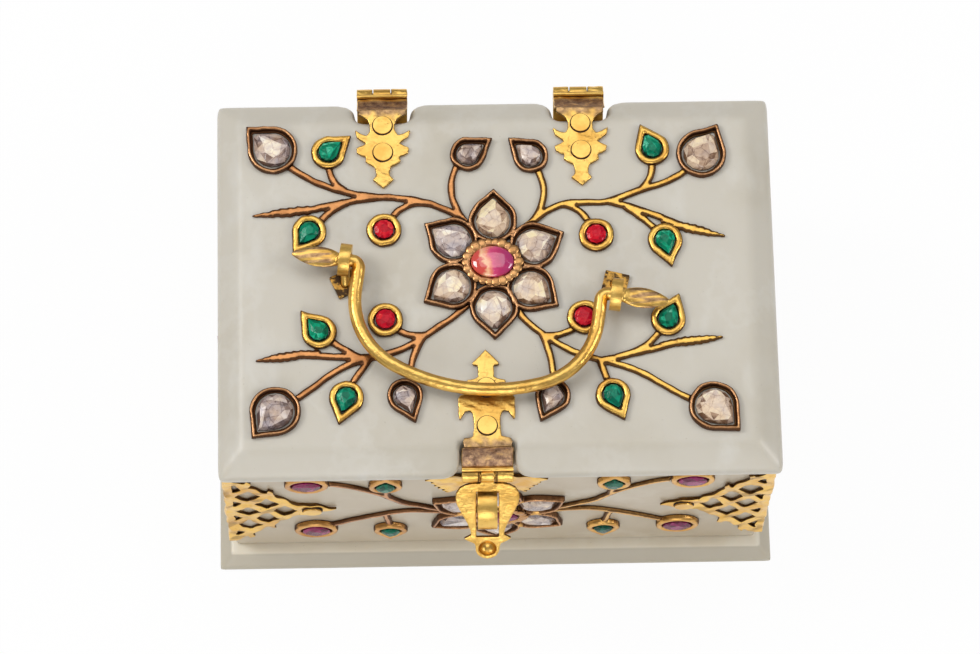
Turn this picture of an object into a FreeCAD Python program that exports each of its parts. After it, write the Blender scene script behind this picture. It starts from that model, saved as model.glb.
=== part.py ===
import FreeCAD, Part
import math
import os
import re
import Sketcher
from types import SimpleNamespace
from FreeCAD import Placement, Rotation, Vector

# Jeweled casket: four jade wall slabs on a jade base under a hinged jade lid.
# Gold sprays of set stones cover the lid and the walls. Millimetres, +Z up.
# The origin is the middle of the base's underside and the hasp faces -Y.

driving = {
    # wall slabs
    "body_width": 107.0,
    "body_depth": 72.0,
    "wall": 4.0,
    "wall_height": 50.8,
    # base slab
    "base_thickness": 3.7,
    "base_side": 3.0,
    "base_front": 4.5,
    "base_chamfer": 2.4,
    # lid slab
    "lid_side": 1.5,
    "lid_front": 3.0,
    "lid_rim": 2.5,
    "lid_rise": 3.2,
    "lid_bevel": 5.0,
    "seat_gap": 0.05,
    "notch_round": 2.8,
    # rivets, shared by the straps, the leaves and the corner mounts
    "rivet_radius": 0.8,
    "rivet_head": 1.85,
    "rivet_rise": 0.5,
    "rivet_clearance": 0.05,
    # rear hinges
    "hinge_back": 2.4,
    "hinge_lift": 0.95,
    "hinge_radius": 1.4,
    "hinge_width": 10.0,
    "hinge_middle": 3.4,
    "hinge_notch_width": 10.8,
    "hinge_notch_depth": 5.0,
    "hinge_strap_overhang": 2.3,
    "hinge_strap_length": 16.7,
    "hinge_strap_half": 5.5,
    "hinge_rivet_first": 3.5,
    "hinge_rivet_second": 9.2,
    "box_leaf_drop": 4.3,
    "box_leaf_length": 10.0,
    "box_rivet_first": 2.6,
    "box_rivet_second": 6.4,
    "strap_thickness": 0.8,
    "pin_radius": 0.6,
    "pin_clearance": 0.05,
    "knuckle_gap": 0.2,
    # hasp and its strap on the lid
    "hasp_shift": -2.6,
    "hasp_out": 1.8,
    "hasp_drop": 0.25,
    "hasp_radius": 1.5,
    "hasp_width": 10.0,
    "hasp_middle": 2.6,
    "hasp_notch_width": 10.8,
    "hasp_notch_depth": 6.5,
    "hasp_strap_overhang": 1.7,
    "hasp_strap_length": 19.8,
    "hasp_strap_half": 5.5,
    "hasp_rivet_first": 4.2,
    "hasp_rivet_second": 12.0,
    "hasp_length": 18.6,
    "hasp_half": 6.25,
    "hasp_plate": 0.8,
    "cup_radius": 2.4,
    "cup_wall": 0.65,
    "hasp_tilt": 40.0,
    "slot_start": 3.7,
    "slot_end": 14.3,
    "slot_width": 4.4,
    # staple on the front wall
    "staple_radius": 4.5,
    "staple_band": 1.5,
    "staple_width": 3.8,
    "staple_out": 4.0,
    "staple_below": 8.2,
    "staple_neck": 1.3,
    "staple_shank": 1.0,
    "staple_plate_half": 12.0,
    "staple_plate_rise": 4.4,
    "staple_wing_drop": 8.4,
    # corner mounts
    "mount_reach": 21.5,
    "mount_half": 20.0,
    "mount_thickness": 0.8,
    "mount_rivet": 16.4,
    "mount_lattice": 14.6,
    "mount_edge": 0.8,
    # bail handle, its eye pins and their washers
    "handle_shift": -3.3,
    "handle_back": -0.7,
    "eye_spread": 26.4,
    "eye_skew": 4.0,
    "eye_rise": 4.3,
    "eye_radius": 3.2,
    "eye_width": 2.2,
    "eye_neck": 0.9,
    "eye_clearance": 0.35,
    "washer_side": 4.8,
    "washer_thickness": 0.8,
    "bail_radius": 1.3,
    "bail_depth": 22.7,
    "bail_drop": 0.7,
    "bail_inset": 2.9,
    "bail_bend": 1.5,
    "bail_leg": 6.0,
    "bail_corner": 15.0,
    "bail_leaf_length": 9.0,
    "bail_leaf_half": 2.1,
    "bail_leaf_thick": 0.6,
    # the room that each ornament is drawn in: half the lid, half a long wall, half an end wall
    "spray_half_width": 55.0,
    "spray_half_depth": 39.0,
    "panel_half_width": 53.5,
    "panel_half_height": 25.4,
    "end_half_width": 36.0,
    "petal_gap": 0.5,
    "end_gap": 1.0,
    # gold settings and their stones
    "stem_width": 1.4,
    "stem_height": 0.8,
    "setting_height": 1.3,
    "gem_wall": 1.35,
    "stone_gap": 0.05,
    "stone_rise": 0.6,
    "leaf_half": 1.05,
    "emerald_radius": 3.4,
    "emerald_reach": 5.7,
    "bud_radius": 3.5,
    "bud_reach": 5.9,
    "corner_radius": 4.95,
    "corner_reach": 7.1,
    "ruby_radius": 3.45,
    "wall_ruby_radius": 4.4,
    "petal_radius": 4.8,
    "petal_reach": 6.7,
    "petal_out": 9.0,
    "petal_rim": 0.78,
    "petal_rim_height": 1.35,
    "bed_height": 0.5,
    "petal_stone_gap": 0.4,
    "petal_stone_rise": 1.15,
    "heart_wide": 5.7,
    "heart_tall": 4.7,
    "heart_height": 1.9,
    "heart_wall": 1.4,
    "heart_tooth": 0.45,
    "heart_stone_rise": 1.0,
    # how far each cutting tool runs past the face it cuts
    "overrun": 1.0,
}

doc = FreeCAD.newDocument("jeweled_casket")
sheet = doc.addObject("Spreadsheet::Sheet", "sizes")
for row, (alias, number) in enumerate(driving.items(), start=1):
    sheet.set(f"A{row}", alias)
    sheet.set(f"B{row}", str(number))
    sheet.setAlias(f"B{row}", alias)
doc.recompute()
size = SimpleNamespace(**{alias: float(sheet.get(alias)) for alias in driving})

# Heights and faces that several pieces share, as formulas for bound sizes and as numbers
seat_formula = "base_thickness + wall_height + seat_gap"
lid_top_formula = f"{seat_formula} + lid_rim + lid_rise"
middle_formula = "base_thickness + wall_height / 2"
hinge_y_formula = "body_depth / 2 + lid_front + hinge_back"
hinge_z_formula = f"{seat_formula} + hinge_lift"
hasp_y_formula = "-(body_depth / 2 + hasp_out)"
hasp_z_formula = f"{seat_formula} - hasp_drop"
strap_rear_formula = "body_depth / 2 + lid_front - hinge_notch_depth + hinge_strap_overhang"
strap_front_formula = "-(body_depth / 2 + lid_front - hasp_notch_depth + hasp_strap_overhang)"
box_leaf_top_formula = f"{hinge_z_formula} - box_leaf_drop"
room_wide_formula = "(body_width / 2 + lid_side) / spray_half_width"
room_deep_formula = "(body_depth / 2 + lid_front) / spray_half_depth"
lid_fit_formula = f"min({room_wide_formula}; {room_deep_formula})"
seat = size.base_thickness + size.wall_height + size.seat_gap
lid_top = seat + size.lid_rim + size.lid_rise
middle = size.base_thickness + size.wall_height / 2
half_width = size.body_width / 2
half_depth = size.body_depth / 2
lid_half_width = half_width + size.lid_side
lid_half_depth = half_depth + size.lid_front
hinge_y = half_depth + size.lid_front + size.hinge_back
hinge_z = seat + size.hinge_lift
hasp_y = -(half_depth + size.hasp_out)
hasp_z = seat - size.hasp_drop
strap_rear = lid_half_depth - size.hinge_notch_depth + size.hinge_strap_overhang
strap_front = -(lid_half_depth - size.hasp_notch_depth + size.hasp_strap_overhang)
box_leaf_top = hinge_z - size.box_leaf_drop

# The straps and the lid's ornament shrink together when the lid gives them less room than they are drawn in
lid_fit = min(lid_half_width / size.spray_half_width, lid_half_depth / size.spray_half_depth)
hinge_place_shares = {"left": -0.400, "right": 0.313}
hinge_places = {
    hand: f"{share} * spray_half_width * {lid_fit_formula}" for hand, share in hinge_place_shares.items()
}
hinge_x = {hand: share * size.spray_half_width * lid_fit for hand, share in hinge_place_shares.items()}
side_normals = {
    "front": Vector(0, -1, 0),
    "rear": Vector(0, 1, 0),
    "left": Vector(-1, 0, 0),
    "right": Vector(1, 0, 0),
}
x_axis = Vector(1, 0, 0)
y_axis = Vector(0, 1, 0)
z_axis = Vector(0, 0, 1)
nodes = []


def bind(obj, prop, formula):
    """Binds a property to a formula of sheet sizes."""
    def cell(word):
        return f"sizes.{word.group()}" if word.group() in driving else word.group()
    obj.setExpression(prop, re.sub(r"[a-z_]\w*", cell, formula))


def keep(obj, name):
    """Labels an object as a finished piece."""
    obj.Label = name
    nodes.append(obj)
    return obj


def feature(name, shape, place=Placement()):
    """A finished piece with a shape of its own."""
    obj = doc.addObject("Part::Feature", name)
    obj.Shape = shape
    obj.Placement = place
    return keep(obj, name)


def rectangle(body, name, width, depth, height="0"):
    """A centred, fully constrained rectangle on a body's XY plane, at a height."""
    sketch = body.newObject("Sketcher::SketchObject", name)
    plane = next(f for f in body.Origin.OriginFeatures if f.Role == "XY_Plane")
    sketch.AttachmentSupport = (plane, [""])
    sketch.MapMode = "FlatFace"
    bind(sketch, "AttachmentOffset.Base.z", height)
    corners = [Vector(-1, -1, 0), Vector(1, -1, 0), Vector(1, 1, 0), Vector(-1, 1, 0)]
    for start, end in zip(corners, corners[1:] + corners[:1]):
        sketch.addGeometry(Part.LineSegment(start, end), False)
    for line in range(4):
        sketch.addConstraint(Sketcher.Constraint("Coincident", line, 2, (line + 1) % 4, 1))
    for line in (0, 2):
        sketch.addConstraint(Sketcher.Constraint("Horizontal", line))
        sketch.addConstraint(Sketcher.Constraint("Vertical", line + 1))
    sketch.addConstraint(Sketcher.Constraint("Symmetric", 0, 1, 2, 1, -1, 1))
    unit = corners[1].x - corners[0].x
    across = sketch.addConstraint(Sketcher.Constraint("DistanceX", 0, 1, 0, 2, unit))
    along = sketch.addConstraint(Sketcher.Constraint("DistanceY", 1, 1, 1, 2, unit))
    sketch.renameConstraint(across, "width")
    sketch.renameConstraint(along, "depth")
    bind(sketch, "Constraints.width", width)
    bind(sketch, "Constraints.depth", depth)
    return sketch


def slab(name, width, depth, height):
    """A body padded from a centred rectangle."""
    body = doc.addObject("PartDesign::Body", name)
    sketch = rectangle(body, f"{name}_plan", width, depth)
    pad = body.newObject("PartDesign::Pad", f"{name}_pad")
    pad.Profile = sketch
    bind(pad, "Length", height)
    doc.recompute()
    return body


def place(obj, at, normal=z_axis, along="0"):
    """Turns an object's Z to a normal and binds its place, moved along that normal."""
    obj.Placement = Placement(Vector(), Rotation(z_axis, normal))
    for axis, formula, part in zip("xyz", at, normal):
        shift = f" + {round(part)} * ({along})" if round(part) else ""
        bind(obj, f"Placement.Base.{axis}", formula + shift)


def rod(name, radius, length, at, normal=z_axis, along="0"):
    """A cylinder that starts at a place and runs along a normal."""
    obj = doc.addObject("Part::Cylinder", name)
    bind(obj, "Radius", radius)
    bind(obj, "Height", length)
    place(obj, at, normal, along)
    return obj


def joined(name, pieces):
    """One solid from several objects that meet."""
    obj = doc.addObject("Part::MultiFuse", name)
    obj.Shapes = pieces
    return obj


def group(name, pieces):
    """Several separate objects as one."""
    obj = doc.addObject("Part::Compound", name)
    obj.Links = pieces
    return obj


def cut(name, base, tools):
    """A piece with its tools cut away."""
    obj = doc.addObject("Part::Cut", name)
    obj.Base = base
    obj.Tool = group(f"{name}_tools", tools)
    return obj


def rivet(name, at, normal, grip):
    """A flat-headed rivet whose shank reaches inward from the face it holds."""
    head = rod(f"{name}_head", "rivet_head", "rivet_rise", at, normal)
    shank = rod(f"{name}_shank", "rivet_radius", grip, at, normal, f"-({grip})")
    return joined(name, [head, shank])


def bore(name, at, normal, grip, radius="rivet_radius + rivet_clearance"):
    """The tool for a clear hole through everything that a shank passes."""
    return rod(name, radius, f"{grip} + 2 * overrun", at, normal, f"-({grip} + overrun)")


def hole(radius, depth, at, normal=z_axis):
    """A hole tool that starts one overrun above a face and runs in against its normal."""
    start = at + normal * size.overrun
    return Part.makeCylinder(radius, depth + size.overrun * 2, start, normal * -1)


def prism(wire, height):
    return Part.Face(wire).extrude(z_axis * height)


def polygon(points):
    return Part.makePolygon(list(points) + [points[0]])


def fused(pieces):
    return pieces[0].multiFuse(pieces[1:]).removeSplitter()


# Outlines of straps and plates: shares of the length along, and of the half width across
hinge_strap_shares = [
    (0.00, 0.83), (0.06, 0.85), (0.09, 0.68), (0.13, 0.52), (0.19, 0.45), (0.27, 0.45), (0.33, 0.56),
    (0.305, 0.78), (0.255, 1.00), (0.35, 0.93), (0.40, 0.72), (0.43, 0.60), (0.455, 0.72), (0.49, 0.94),
    (0.55, 0.92), (0.585, 0.76), (0.60, 0.60), (0.66, 0.64), (0.69, 0.52), (0.73, 0.29), (0.80, 0.24),
    (0.85, 0.25), (0.89, 0.37),
]
hasp_strap_shares = [
    (0.00, 0.82), (0.05, 0.88), (0.09, 0.82), (0.105, 0.50), (0.17, 0.47), (0.30, 0.47), (0.345, 0.51),
    (0.37, 0.62), (0.36, 0.77), (0.32, 0.85), (0.275, 0.96), (0.34, 1.00), (0.50, 1.00), (0.53, 0.93),
    (0.56, 0.55), (0.62, 0.36), (0.645, 0.40), (0.655, 0.70), (0.69, 0.68), (0.70, 0.40), (0.72, 0.28),
    (0.835, 0.28), (0.845, 0.47), (0.87, 0.46),
]
box_leaf_shares = [
    (0.00, 1.00), (0.30, 1.00), (0.36, 0.70), (0.48, 0.62), (0.56, 0.84), (0.64, 0.62),
    (0.78, 0.40), (0.86, 0.50),
]
hasp_shares = [
    (0.10, 0.48), (0.12, 0.68), (0.16, 0.88), (0.22, 0.98), (0.28, 1.00), (0.35, 0.97), (0.43, 0.87),
    (0.52, 0.74), (0.61, 0.62), (0.69, 0.54), (0.745, 0.52), (0.79, 0.74), (0.82, 0.60), (0.85, 0.42),
    (0.93, 0.34),
]
mount_shares = [
    (0.03, 1.00), (0.14, 0.86), (0.16, 0.95), (0.21, 0.88), (0.20, 0.77), (0.36, 0.54), (0.375, 0.65),
    (0.42, 0.58), (0.41, 0.46), (0.56, 0.245), (0.63, 0.15), (0.70, 0.145), (0.80, 0.135), (0.86, 0.06),
]
lattice_rows = 4
lattice_half_share = 0.96
lattice_open_share = 0.68
comb_teeth = 6
comb_notch_share = 0.12
comb_tip_shares = (1.0, 0.06)
comb_foot_shares = (0.64, -0.85)
wing_top_shares = [(0.0, 0.40), (0.50, 0.42), (0.86, 0.27)]
wing_back_shares = [(0.46, -0.60), (0.35, -0.42), (0.0, -0.35)]


def mirrored(shares, length, half, tip=True):
    """The closed outline of a strap that runs along +Y, the same on both sides."""
    side = [Vector(across * half, along * length, 0) for along, across in shares]
    other = [Vector(-p.x, p.y, 0) for p in reversed(side)]
    return polygon(side + ([Vector(0, length, 0)] if tip else []) + other)


# Base and wall slabs
base = slab("base_slab", "body_width + 2 * base_side", "body_depth + 2 * base_front", "base_thickness")
base_pad = base.Tip
edge_names = [
    f"Edge{number}"
    for number, edge in enumerate(base_pad.Shape.Edges, start=1)
    if all(abs(v.Z - size.base_thickness) < size.seat_gap for v in edge.Vertexes)
]
chamfer = base.newObject("PartDesign::Chamfer", "base_edge")
chamfer.Base = (base_pad, edge_names)
bind(chamfer, "Size", "base_chamfer")
base.Tip = chamfer
keep(base, "base_slab")

bores = {side: [] for side in side_normals}
mount_rivets = []
for side, normal in side_normals.items():
    for hand in (-1, 1):
        if normal.y:
            along = f"{hand} * (body_width / 2 - mount_rivet)"
            at = (along, f"{round(normal.y)} * (body_depth / 2 + mount_thickness)", middle_formula)
        else:
            along = f"{hand} * (body_depth / 2 - mount_rivet)"
            at = (f"{round(normal.x)} * (body_width / 2 + mount_thickness)", along, middle_formula)
        name = f"{side}_mount_{'first' if hand < 0 else 'second'}"
        mount_rivets.append(rivet(f"{name}_rivet", at, normal, "wall + mount_thickness"))
        bores[side].append(bore(f"{name}_bore", at, normal, "wall + mount_thickness"))
keep(group("mount_rivet_group", mount_rivets), "corner_mount_rivets")

staple_z_formula = f"{hasp_z_formula} - staple_below"
staple_root = ("hasp_shift", "-(body_depth / 2 + strap_thickness)", staple_z_formula)
shank_bore = "staple_shank + rivet_clearance"
staple_bore = bore("staple_bore", staple_root, side_normals["front"], "wall + strap_thickness", shank_bore)
bores["front"].append(staple_bore)

box_rivets = []
for hand, across in hinge_places.items():
    for order in ("first", "second"):
        down = f"{box_leaf_top_formula} - box_rivet_{order}"
        at = (across, "body_depth / 2 + strap_thickness", down)
        name = f"box_leaf_{hand}_{order}"
        box_rivets.append(rivet(f"{name}_rivet", at, y_axis, "wall + strap_thickness"))
        bores["rear"].append(bore(f"{name}_bore", at, y_axis, "wall + strap_thickness"))
keep(group("box_rivet_group", box_rivets), "hinge_box_rivets")

for side, normal in side_normals.items():
    if normal.y:
        blank = slab(f"{side}_blank", "body_width", "wall", "wall_height")
        bind(blank, "Placement.Base.y", f"{round(normal.y)} * (body_depth - wall) / 2")
    else:
        blank = slab(f"{side}_blank", "wall", "body_depth - 2 * wall", "wall_height")
        bind(blank, "Placement.Base.x", f"{round(normal.x)} * (body_width - wall) / 2")
    bind(blank, "Placement.Base.z", "base_thickness")
    keep(cut(f"{side}_wall", blank, bores[side]), f"{side}_panel")

# Lid slab: a plain rim under a bevel that rises to a flat top
lid_width = "body_width + 2 * lid_side"
lid_depth = "body_depth + 2 * lid_front"
lid_blank = slab("lid_blank", lid_width, lid_depth, "lid_rim")
rim_plan = rectangle(lid_blank, "lid_bevel_foot", lid_width, lid_depth, "lid_rim")
flat_width = f"{lid_width} - 2 * lid_bevel"
flat_depth = f"{lid_depth} - 2 * lid_bevel"
top_plan = rectangle(lid_blank, "lid_bevel_top", flat_width, flat_depth, "lid_rim + lid_rise")
bevel = lid_blank.newObject("PartDesign::AdditiveLoft", "lid_bevel_loft")
bevel.Profile = rim_plan
bevel.Sections = [top_plan]
bevel.Ruled = True
lid_blank.Tip = bevel
bind(lid_blank, "Placement.Base.z", seat_formula)


def notch(name, centre, width, depth, outward):
    """The tool for a notch in the lid's edge, with rounded lips, under a strap's tongue."""
    edge = lid_half_depth
    half = width / 2
    lip = size.notch_round
    past = edge + size.overrun
    turn = lip * math.sqrt(0.5)
    right = [
        Vector(half + lip, past, 0),
        Vector(half + lip, edge, 0),
        Vector(half + lip - turn, edge - lip + turn, 0),
        Vector(half, edge - lip, 0),
        Vector(half, edge - depth, 0),
    ]
    left = [Vector(-p.x, p.y, 0) for p in right]
    wire = Part.Wire([
        Part.makeLine(right[0], right[1]),
        Part.Arc(right[1], right[2], right[3]).toShape(),
        Part.makeLine(right[3], right[4]),
        Part.makeLine(right[4], left[4]),
        Part.makeLine(left[4], left[3]),
        Part.Arc(left[3], left[2], left[1]).toShape(),
        Part.makeLine(left[1], left[0]),
        Part.makeLine(left[0], right[0]),
    ])
    obj = doc.addObject("Part::Feature", name)
    obj.Shape = prism(wire, size.lid_rim + size.lid_rise + size.overrun * 2)
    turned = Rotation(z_axis, 0 if outward > 0 else 180)
    obj.Placement = Placement(Vector(centre, 0, seat - size.overrun), turned)
    return obj


lid_tools = [notch("hasp_notch", size.hasp_shift, size.hasp_notch_width, size.hasp_notch_depth, -1)]
for hand, across in hinge_x.items():
    lid_tools.append(notch(f"hinge_notch_{hand}", across, size.hinge_notch_width, size.hinge_notch_depth, 1))

lid_grip = "lid_rim + lid_rise + strap_thickness"
strap_face = f"{lid_top_formula} + strap_thickness"
lid_rivets = []
for hand, across in hinge_places.items():
    for order in ("first", "second"):
        at = (across, f"{strap_rear_formula} - hinge_rivet_{order} * {lid_fit_formula}", strap_face)
        name = f"lid_leaf_{hand}_{order}"
        lid_rivets.append(rivet(f"{name}_rivet", at, z_axis, lid_grip))
        lid_tools.append(bore(f"{name}_bore", at, z_axis, lid_grip))
keep(group("lid_rivet_group", lid_rivets), "hinge_lid_rivets")

strap_rivets = []
for order in ("first", "second"):
    at = ("hasp_shift", f"{strap_front_formula} + hasp_rivet_{order} * {lid_fit_formula}", strap_face)
    strap_rivets.append(rivet(f"hasp_strap_{order}_rivet", at, z_axis, lid_grip))
    lid_tools.append(bore(f"hasp_strap_{order}_bore", at, z_axis, lid_grip))
keep(group("strap_rivet_group", strap_rivets), "hasp_strap_rivets")

# Eye pins, one at each end of the handle's pivot line, which runs askew across the lid
foot_share = 0.12
washer_angles = {"left": 24.0, "right": -14.0}
eye_signs = {"left": -1, "right": 1}
eye_z = lid_top + size.eye_rise
eye_places = {
    hand: Vector(size.handle_shift + sign * size.eye_spread, size.handle_back - sign * size.eye_skew, eye_z)
    for hand, sign in eye_signs.items()
}
pivot = eye_places["right"] - eye_places["left"]
pivot_length = pivot.Length
pivot_line = pivot.normalize()
washers = []
for hand, sign in eye_signs.items():
    foot_y = f"handle_back - {sign} * {foot_share} * eye_skew"
    foot = (f"handle_shift + {sign} * eye_spread", foot_y, lid_top_formula)
    eye_grip = "lid_rim + lid_rise"
    lid_tools.append(bore(f"eye_bore_{hand}", foot, z_axis, eye_grip, "eye_neck + rivet_clearance"))
    plate = doc.addObject("Part::Box", f"washer_plate_{hand}")
    bind(plate, "Length", "washer_side")
    bind(plate, "Width", "washer_side")
    bind(plate, "Height", "washer_thickness")
    bind(plate, "Placement.Base.x", "-washer_side / 2")
    bind(plate, "Placement.Base.y", "-washer_side / 2")
    washer_middle = ("0", "0", "0")
    neck_bore = "eye_neck + rivet_clearance"
    opening = bore(f"washer_bore_{hand}", washer_middle, z_axis, "washer_thickness", neck_bore)
    bind(opening, "Placement.Base.z", "-overrun")
    washer = cut(f"washer_{hand}", plate, [opening])
    washer.Placement = Placement(Vector(), Rotation(z_axis, washer_angles[hand]))
    for axis, formula in zip("xyz", foot):
        bind(washer, f"Placement.Base.{axis}", formula)
    washers.append(washer)

    eye = eye_places[hand]
    foot_skew = sign * foot_share * size.eye_skew
    foot_point = Vector(eye.x, size.handle_back - foot_skew, lid_top + size.washer_thickness)
    ring_start = eye - pivot_line * (size.eye_width / 2)
    ring = Part.makeCylinder(size.eye_radius, size.eye_width, ring_start, pivot_line)
    neck = Part.makeCylinder(size.eye_neck, (eye - foot_point).Length, foot_point, eye - foot_point)
    ball = Part.makeSphere(size.eye_neck, foot_point)
    above = Part.makeBox(
        size.washer_side, size.washer_side, size.washer_side,
        foot_point - Vector(size.washer_side / 2, size.washer_side / 2, 0),
    )
    shank = Part.makeCylinder(size.eye_neck, foot_point.z - seat, foot_point, z_axis * -1)
    upper = fused([ring, neck, ball]).common(above.fuse(ring))
    inside = size.bail_radius + size.eye_clearance
    through_start = ring_start - pivot_line * size.overrun
    through = Part.makeCylinder(inside, size.eye_width + size.overrun * 2, through_start, pivot_line)
    feature(f"eye_pin_{hand}", fused([upper, shank]).cut(through))
keep(group("washer_group", washers), "eye_washers")
keep(cut("lid_drilled", lid_blank, lid_tools), "lid_slab")


def barrel(radius, width, middle_width, at_y, at_z):
    """Knuckles on a pin along X: the two outer ones, the middle one, and the tools that clear them."""
    def tube(size_radius, start, end):
        return Part.makeCylinder(size_radius, end - start, Vector(start, at_y, at_z), x_axis)
    half = width / 2
    inner = middle_width / 2
    gap = size.knuckle_gap
    clear = radius + gap
    wide = half + size.overrun
    return SimpleNamespace(
        outer=[tube(radius, -half, -inner - gap), tube(radius, inner + gap, half)],
        middle=tube(radius, -inner, inner),
        outer_clear=[tube(clear, -wide, -inner), tube(clear, inner, wide)],
        middle_clear=tube(clear, -inner - gap, inner + gap),
        pin_hole=tube(size.pin_radius + size.pin_clearance, -wide, wide),
    )


sag_share = 0.14
root_share = 0.62


def tongue(end_y, axis_y, axis_z, radius, width):
    """The strip that sweeps down from a strap's end, hollowed, to the top of its barrel."""
    top = lid_top + size.strap_thickness
    turn = 1 if axis_y > end_y else -1
    start = Vector(0, end_y, top)
    end = Vector(0, axis_y, axis_z + radius)
    chord = end - start
    inward = Vector(0, turn * chord.z, -turn * chord.y).normalize()
    waist = (start + end) * 0.5 + inward * (sag_share * chord.Length)
    start_below = Vector(0, end_y, lid_top)
    end_below = Vector(0, axis_y - turn * root_share * radius, axis_z + root_share * radius / 2)
    waist_below = waist + inward * size.strap_thickness
    wire = Part.Wire([
        Part.Arc(start, waist, end).toShape(),
        Part.makeLine(end, end_below),
        Part.Arc(end_below, waist_below, start_below).toShape(),
        Part.makeLine(start_below, start),
    ])
    strip = Part.Face(wire).extrude(x_axis * width)
    strip.translate(x_axis * (-width / 2))
    return strip


def lid_strap(shares, length, half, end_y, turn, rivets_along, knuckles, strip):
    """A pierced strap flat on the lid, with its tongue and its two outer knuckles."""
    plate = prism(mirrored(shares, length * lid_fit, half * lid_fit), size.strap_thickness)
    plate.rotate(Vector(), z_axis, 0 if turn > 0 else 180)
    plate.translate(Vector(0, end_y, lid_top))
    whole = fused([plate, strip.cut(knuckles.middle_clear)] + knuckles.outer)
    tools = [knuckles.pin_hole]
    for along in rivets_along:
        at = Vector(0, end_y + turn * along * lid_fit, lid_top + size.strap_thickness)
        tools.append(hole(size.rivet_radius + size.rivet_clearance, size.strap_thickness, at))
    return whole.cut(Part.makeCompound(tools))


# Rear hinges: a strap on the lid, a leaf on the rear wall and a pin, twice
hinge_barrel = barrel(size.hinge_radius, size.hinge_width, size.hinge_middle, hinge_y, hinge_z)
hinge_tongue = tongue(strap_rear, hinge_y, hinge_z, size.hinge_radius, size.hinge_width)
hinge_rivets = (size.hinge_rivet_first, size.hinge_rivet_second)
lid_leaf = lid_strap(
    hinge_strap_shares, size.hinge_strap_length, size.hinge_strap_half, strap_rear, -1,
    hinge_rivets, hinge_barrel, hinge_tongue,
)
leaf_outline = mirrored(box_leaf_shares, size.box_leaf_length, size.hinge_width / 2)
leaf_plate = prism(leaf_outline, size.strap_thickness)
leaf_plate.rotate(Vector(), x_axis, -90)
leaf_plate.translate(Vector(0, half_depth, box_leaf_top))
arm_points = [
    Vector(0, half_depth, box_leaf_top - size.strap_thickness),
    Vector(0, half_depth, box_leaf_top),
    Vector(0, hinge_y - root_share * size.hinge_radius, hinge_z + root_share * size.hinge_radius / 2),
    Vector(0, hinge_y, hinge_z - root_share * size.hinge_radius),
    Vector(0, half_depth + size.strap_thickness, box_leaf_top - size.strap_thickness),
]
arm = Part.Face(polygon(arm_points)).extrude(x_axis * size.hinge_width)
arm.translate(x_axis * (-size.hinge_width / 2))
arm = arm.cut(Part.makeCompound(hinge_barrel.outer_clear))
box_leaf_tools = [hinge_barrel.pin_hole]
for down in (size.box_rivet_first, size.box_rivet_second):
    at = Vector(0, half_depth + size.strap_thickness, box_leaf_top - down)
    box_leaf_tools.append(hole(size.rivet_radius + size.rivet_clearance, size.strap_thickness, at, y_axis))
box_leaf = fused([leaf_plate, arm, hinge_barrel.middle]).cut(Part.makeCompound(box_leaf_tools))
for hand, across in hinge_x.items():
    there = Placement(Vector(across, 0, 0), Rotation())
    feature(f"hinge_lid_leaf_{hand}", lid_leaf, there)
    feature(f"hinge_box_leaf_{hand}", box_leaf, there)
    start = (f"{hinge_places[hand]} - hinge_width / 2", hinge_y_formula, hinge_z_formula)
    keep(rod(f"hinge_rod_{hand}", "pin_radius", "hinge_width", start, x_axis), f"hinge_pin_{hand}")

# Hasp: a strap on the lid, a slotted plate that swings from it and the pin between them
hasp_barrel = barrel(size.hasp_radius, size.hasp_width, size.hasp_middle, hasp_y, hasp_z)
hasp_tongue = tongue(strap_front, hasp_y, hasp_z, size.hasp_radius, size.hasp_width)
hasp_rivets = (size.hasp_rivet_first, size.hasp_rivet_second)
hasp_strap = lid_strap(
    hasp_strap_shares, size.hasp_strap_length, size.hasp_strap_half, strap_front, 1,
    hasp_rivets, hasp_barrel, hasp_tongue,
)
feature("hasp_strap", hasp_strap, Placement(Vector(size.hasp_shift, 0, 0), Rotation()))
hasp_start = ("hasp_shift - hasp_width / 2", hasp_y_formula, hasp_z_formula)
keep(rod("hasp_rod", "pin_radius", "hasp_width", hasp_start, x_axis), "hasp_pin")

plate = prism(mirrored(hasp_shares, size.hasp_length, size.hasp_half, tip=False), size.hasp_plate)
slot_half = size.slot_width / 2
slot_points = [
    Vector(-slot_half, size.slot_start, 0),
    Vector(slot_half, size.slot_start, 0),
    Vector(slot_half, size.slot_end, 0),
    Vector(-slot_half, size.slot_end, 0),
]
slot = prism(polygon(slot_points), size.hasp_plate + size.overrun * 2)
slot.translate(z_axis * -size.overrun)
plate = plate.cut(slot)
link = Part.makeBox(size.hasp_middle, size.slot_start, size.hasp_plate, Vector(-size.hasp_middle / 2, 0, 0))
plate = plate.fuse(link)
plate.translate(z_axis * (-size.hasp_plate / 2))
cup_at = Vector(0, size.hasp_length + size.hasp_plate - size.cup_radius, 0)
brim = cup_at - z_axis * (size.hasp_plate / 2)
cup_box = Part.makeBox(
    size.cup_radius * 2, size.cup_radius * 2, size.cup_radius * 2,
    brim - Vector(size.cup_radius, size.cup_radius, size.cup_radius * 2),
)
cup = Part.makeSphere(size.cup_radius, cup_at).cut(cup_box)
cup_hollow = Part.makeSphere(size.cup_radius - size.cup_wall, brim)
knuckle_start = Vector(-size.hasp_middle / 2, 0, 0)
knuckle = Part.makeCylinder(size.hasp_radius, size.hasp_middle, knuckle_start, x_axis)
knuckle_hole = Part.makeCylinder(
    size.pin_radius + size.pin_clearance, size.hasp_middle + size.overrun * 2,
    knuckle_start - x_axis * size.overrun, x_axis,
)
hasp_shape = fused([plate, cup, knuckle]).cut(Part.makeCompound([knuckle_hole, cup_hollow]))
hasp_turn = Rotation(x_axis, -90 - size.hasp_tilt)
feature("hasp_plate", hasp_shape, Placement(Vector(size.hasp_shift, hasp_y, hasp_z), hasp_turn))

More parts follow.
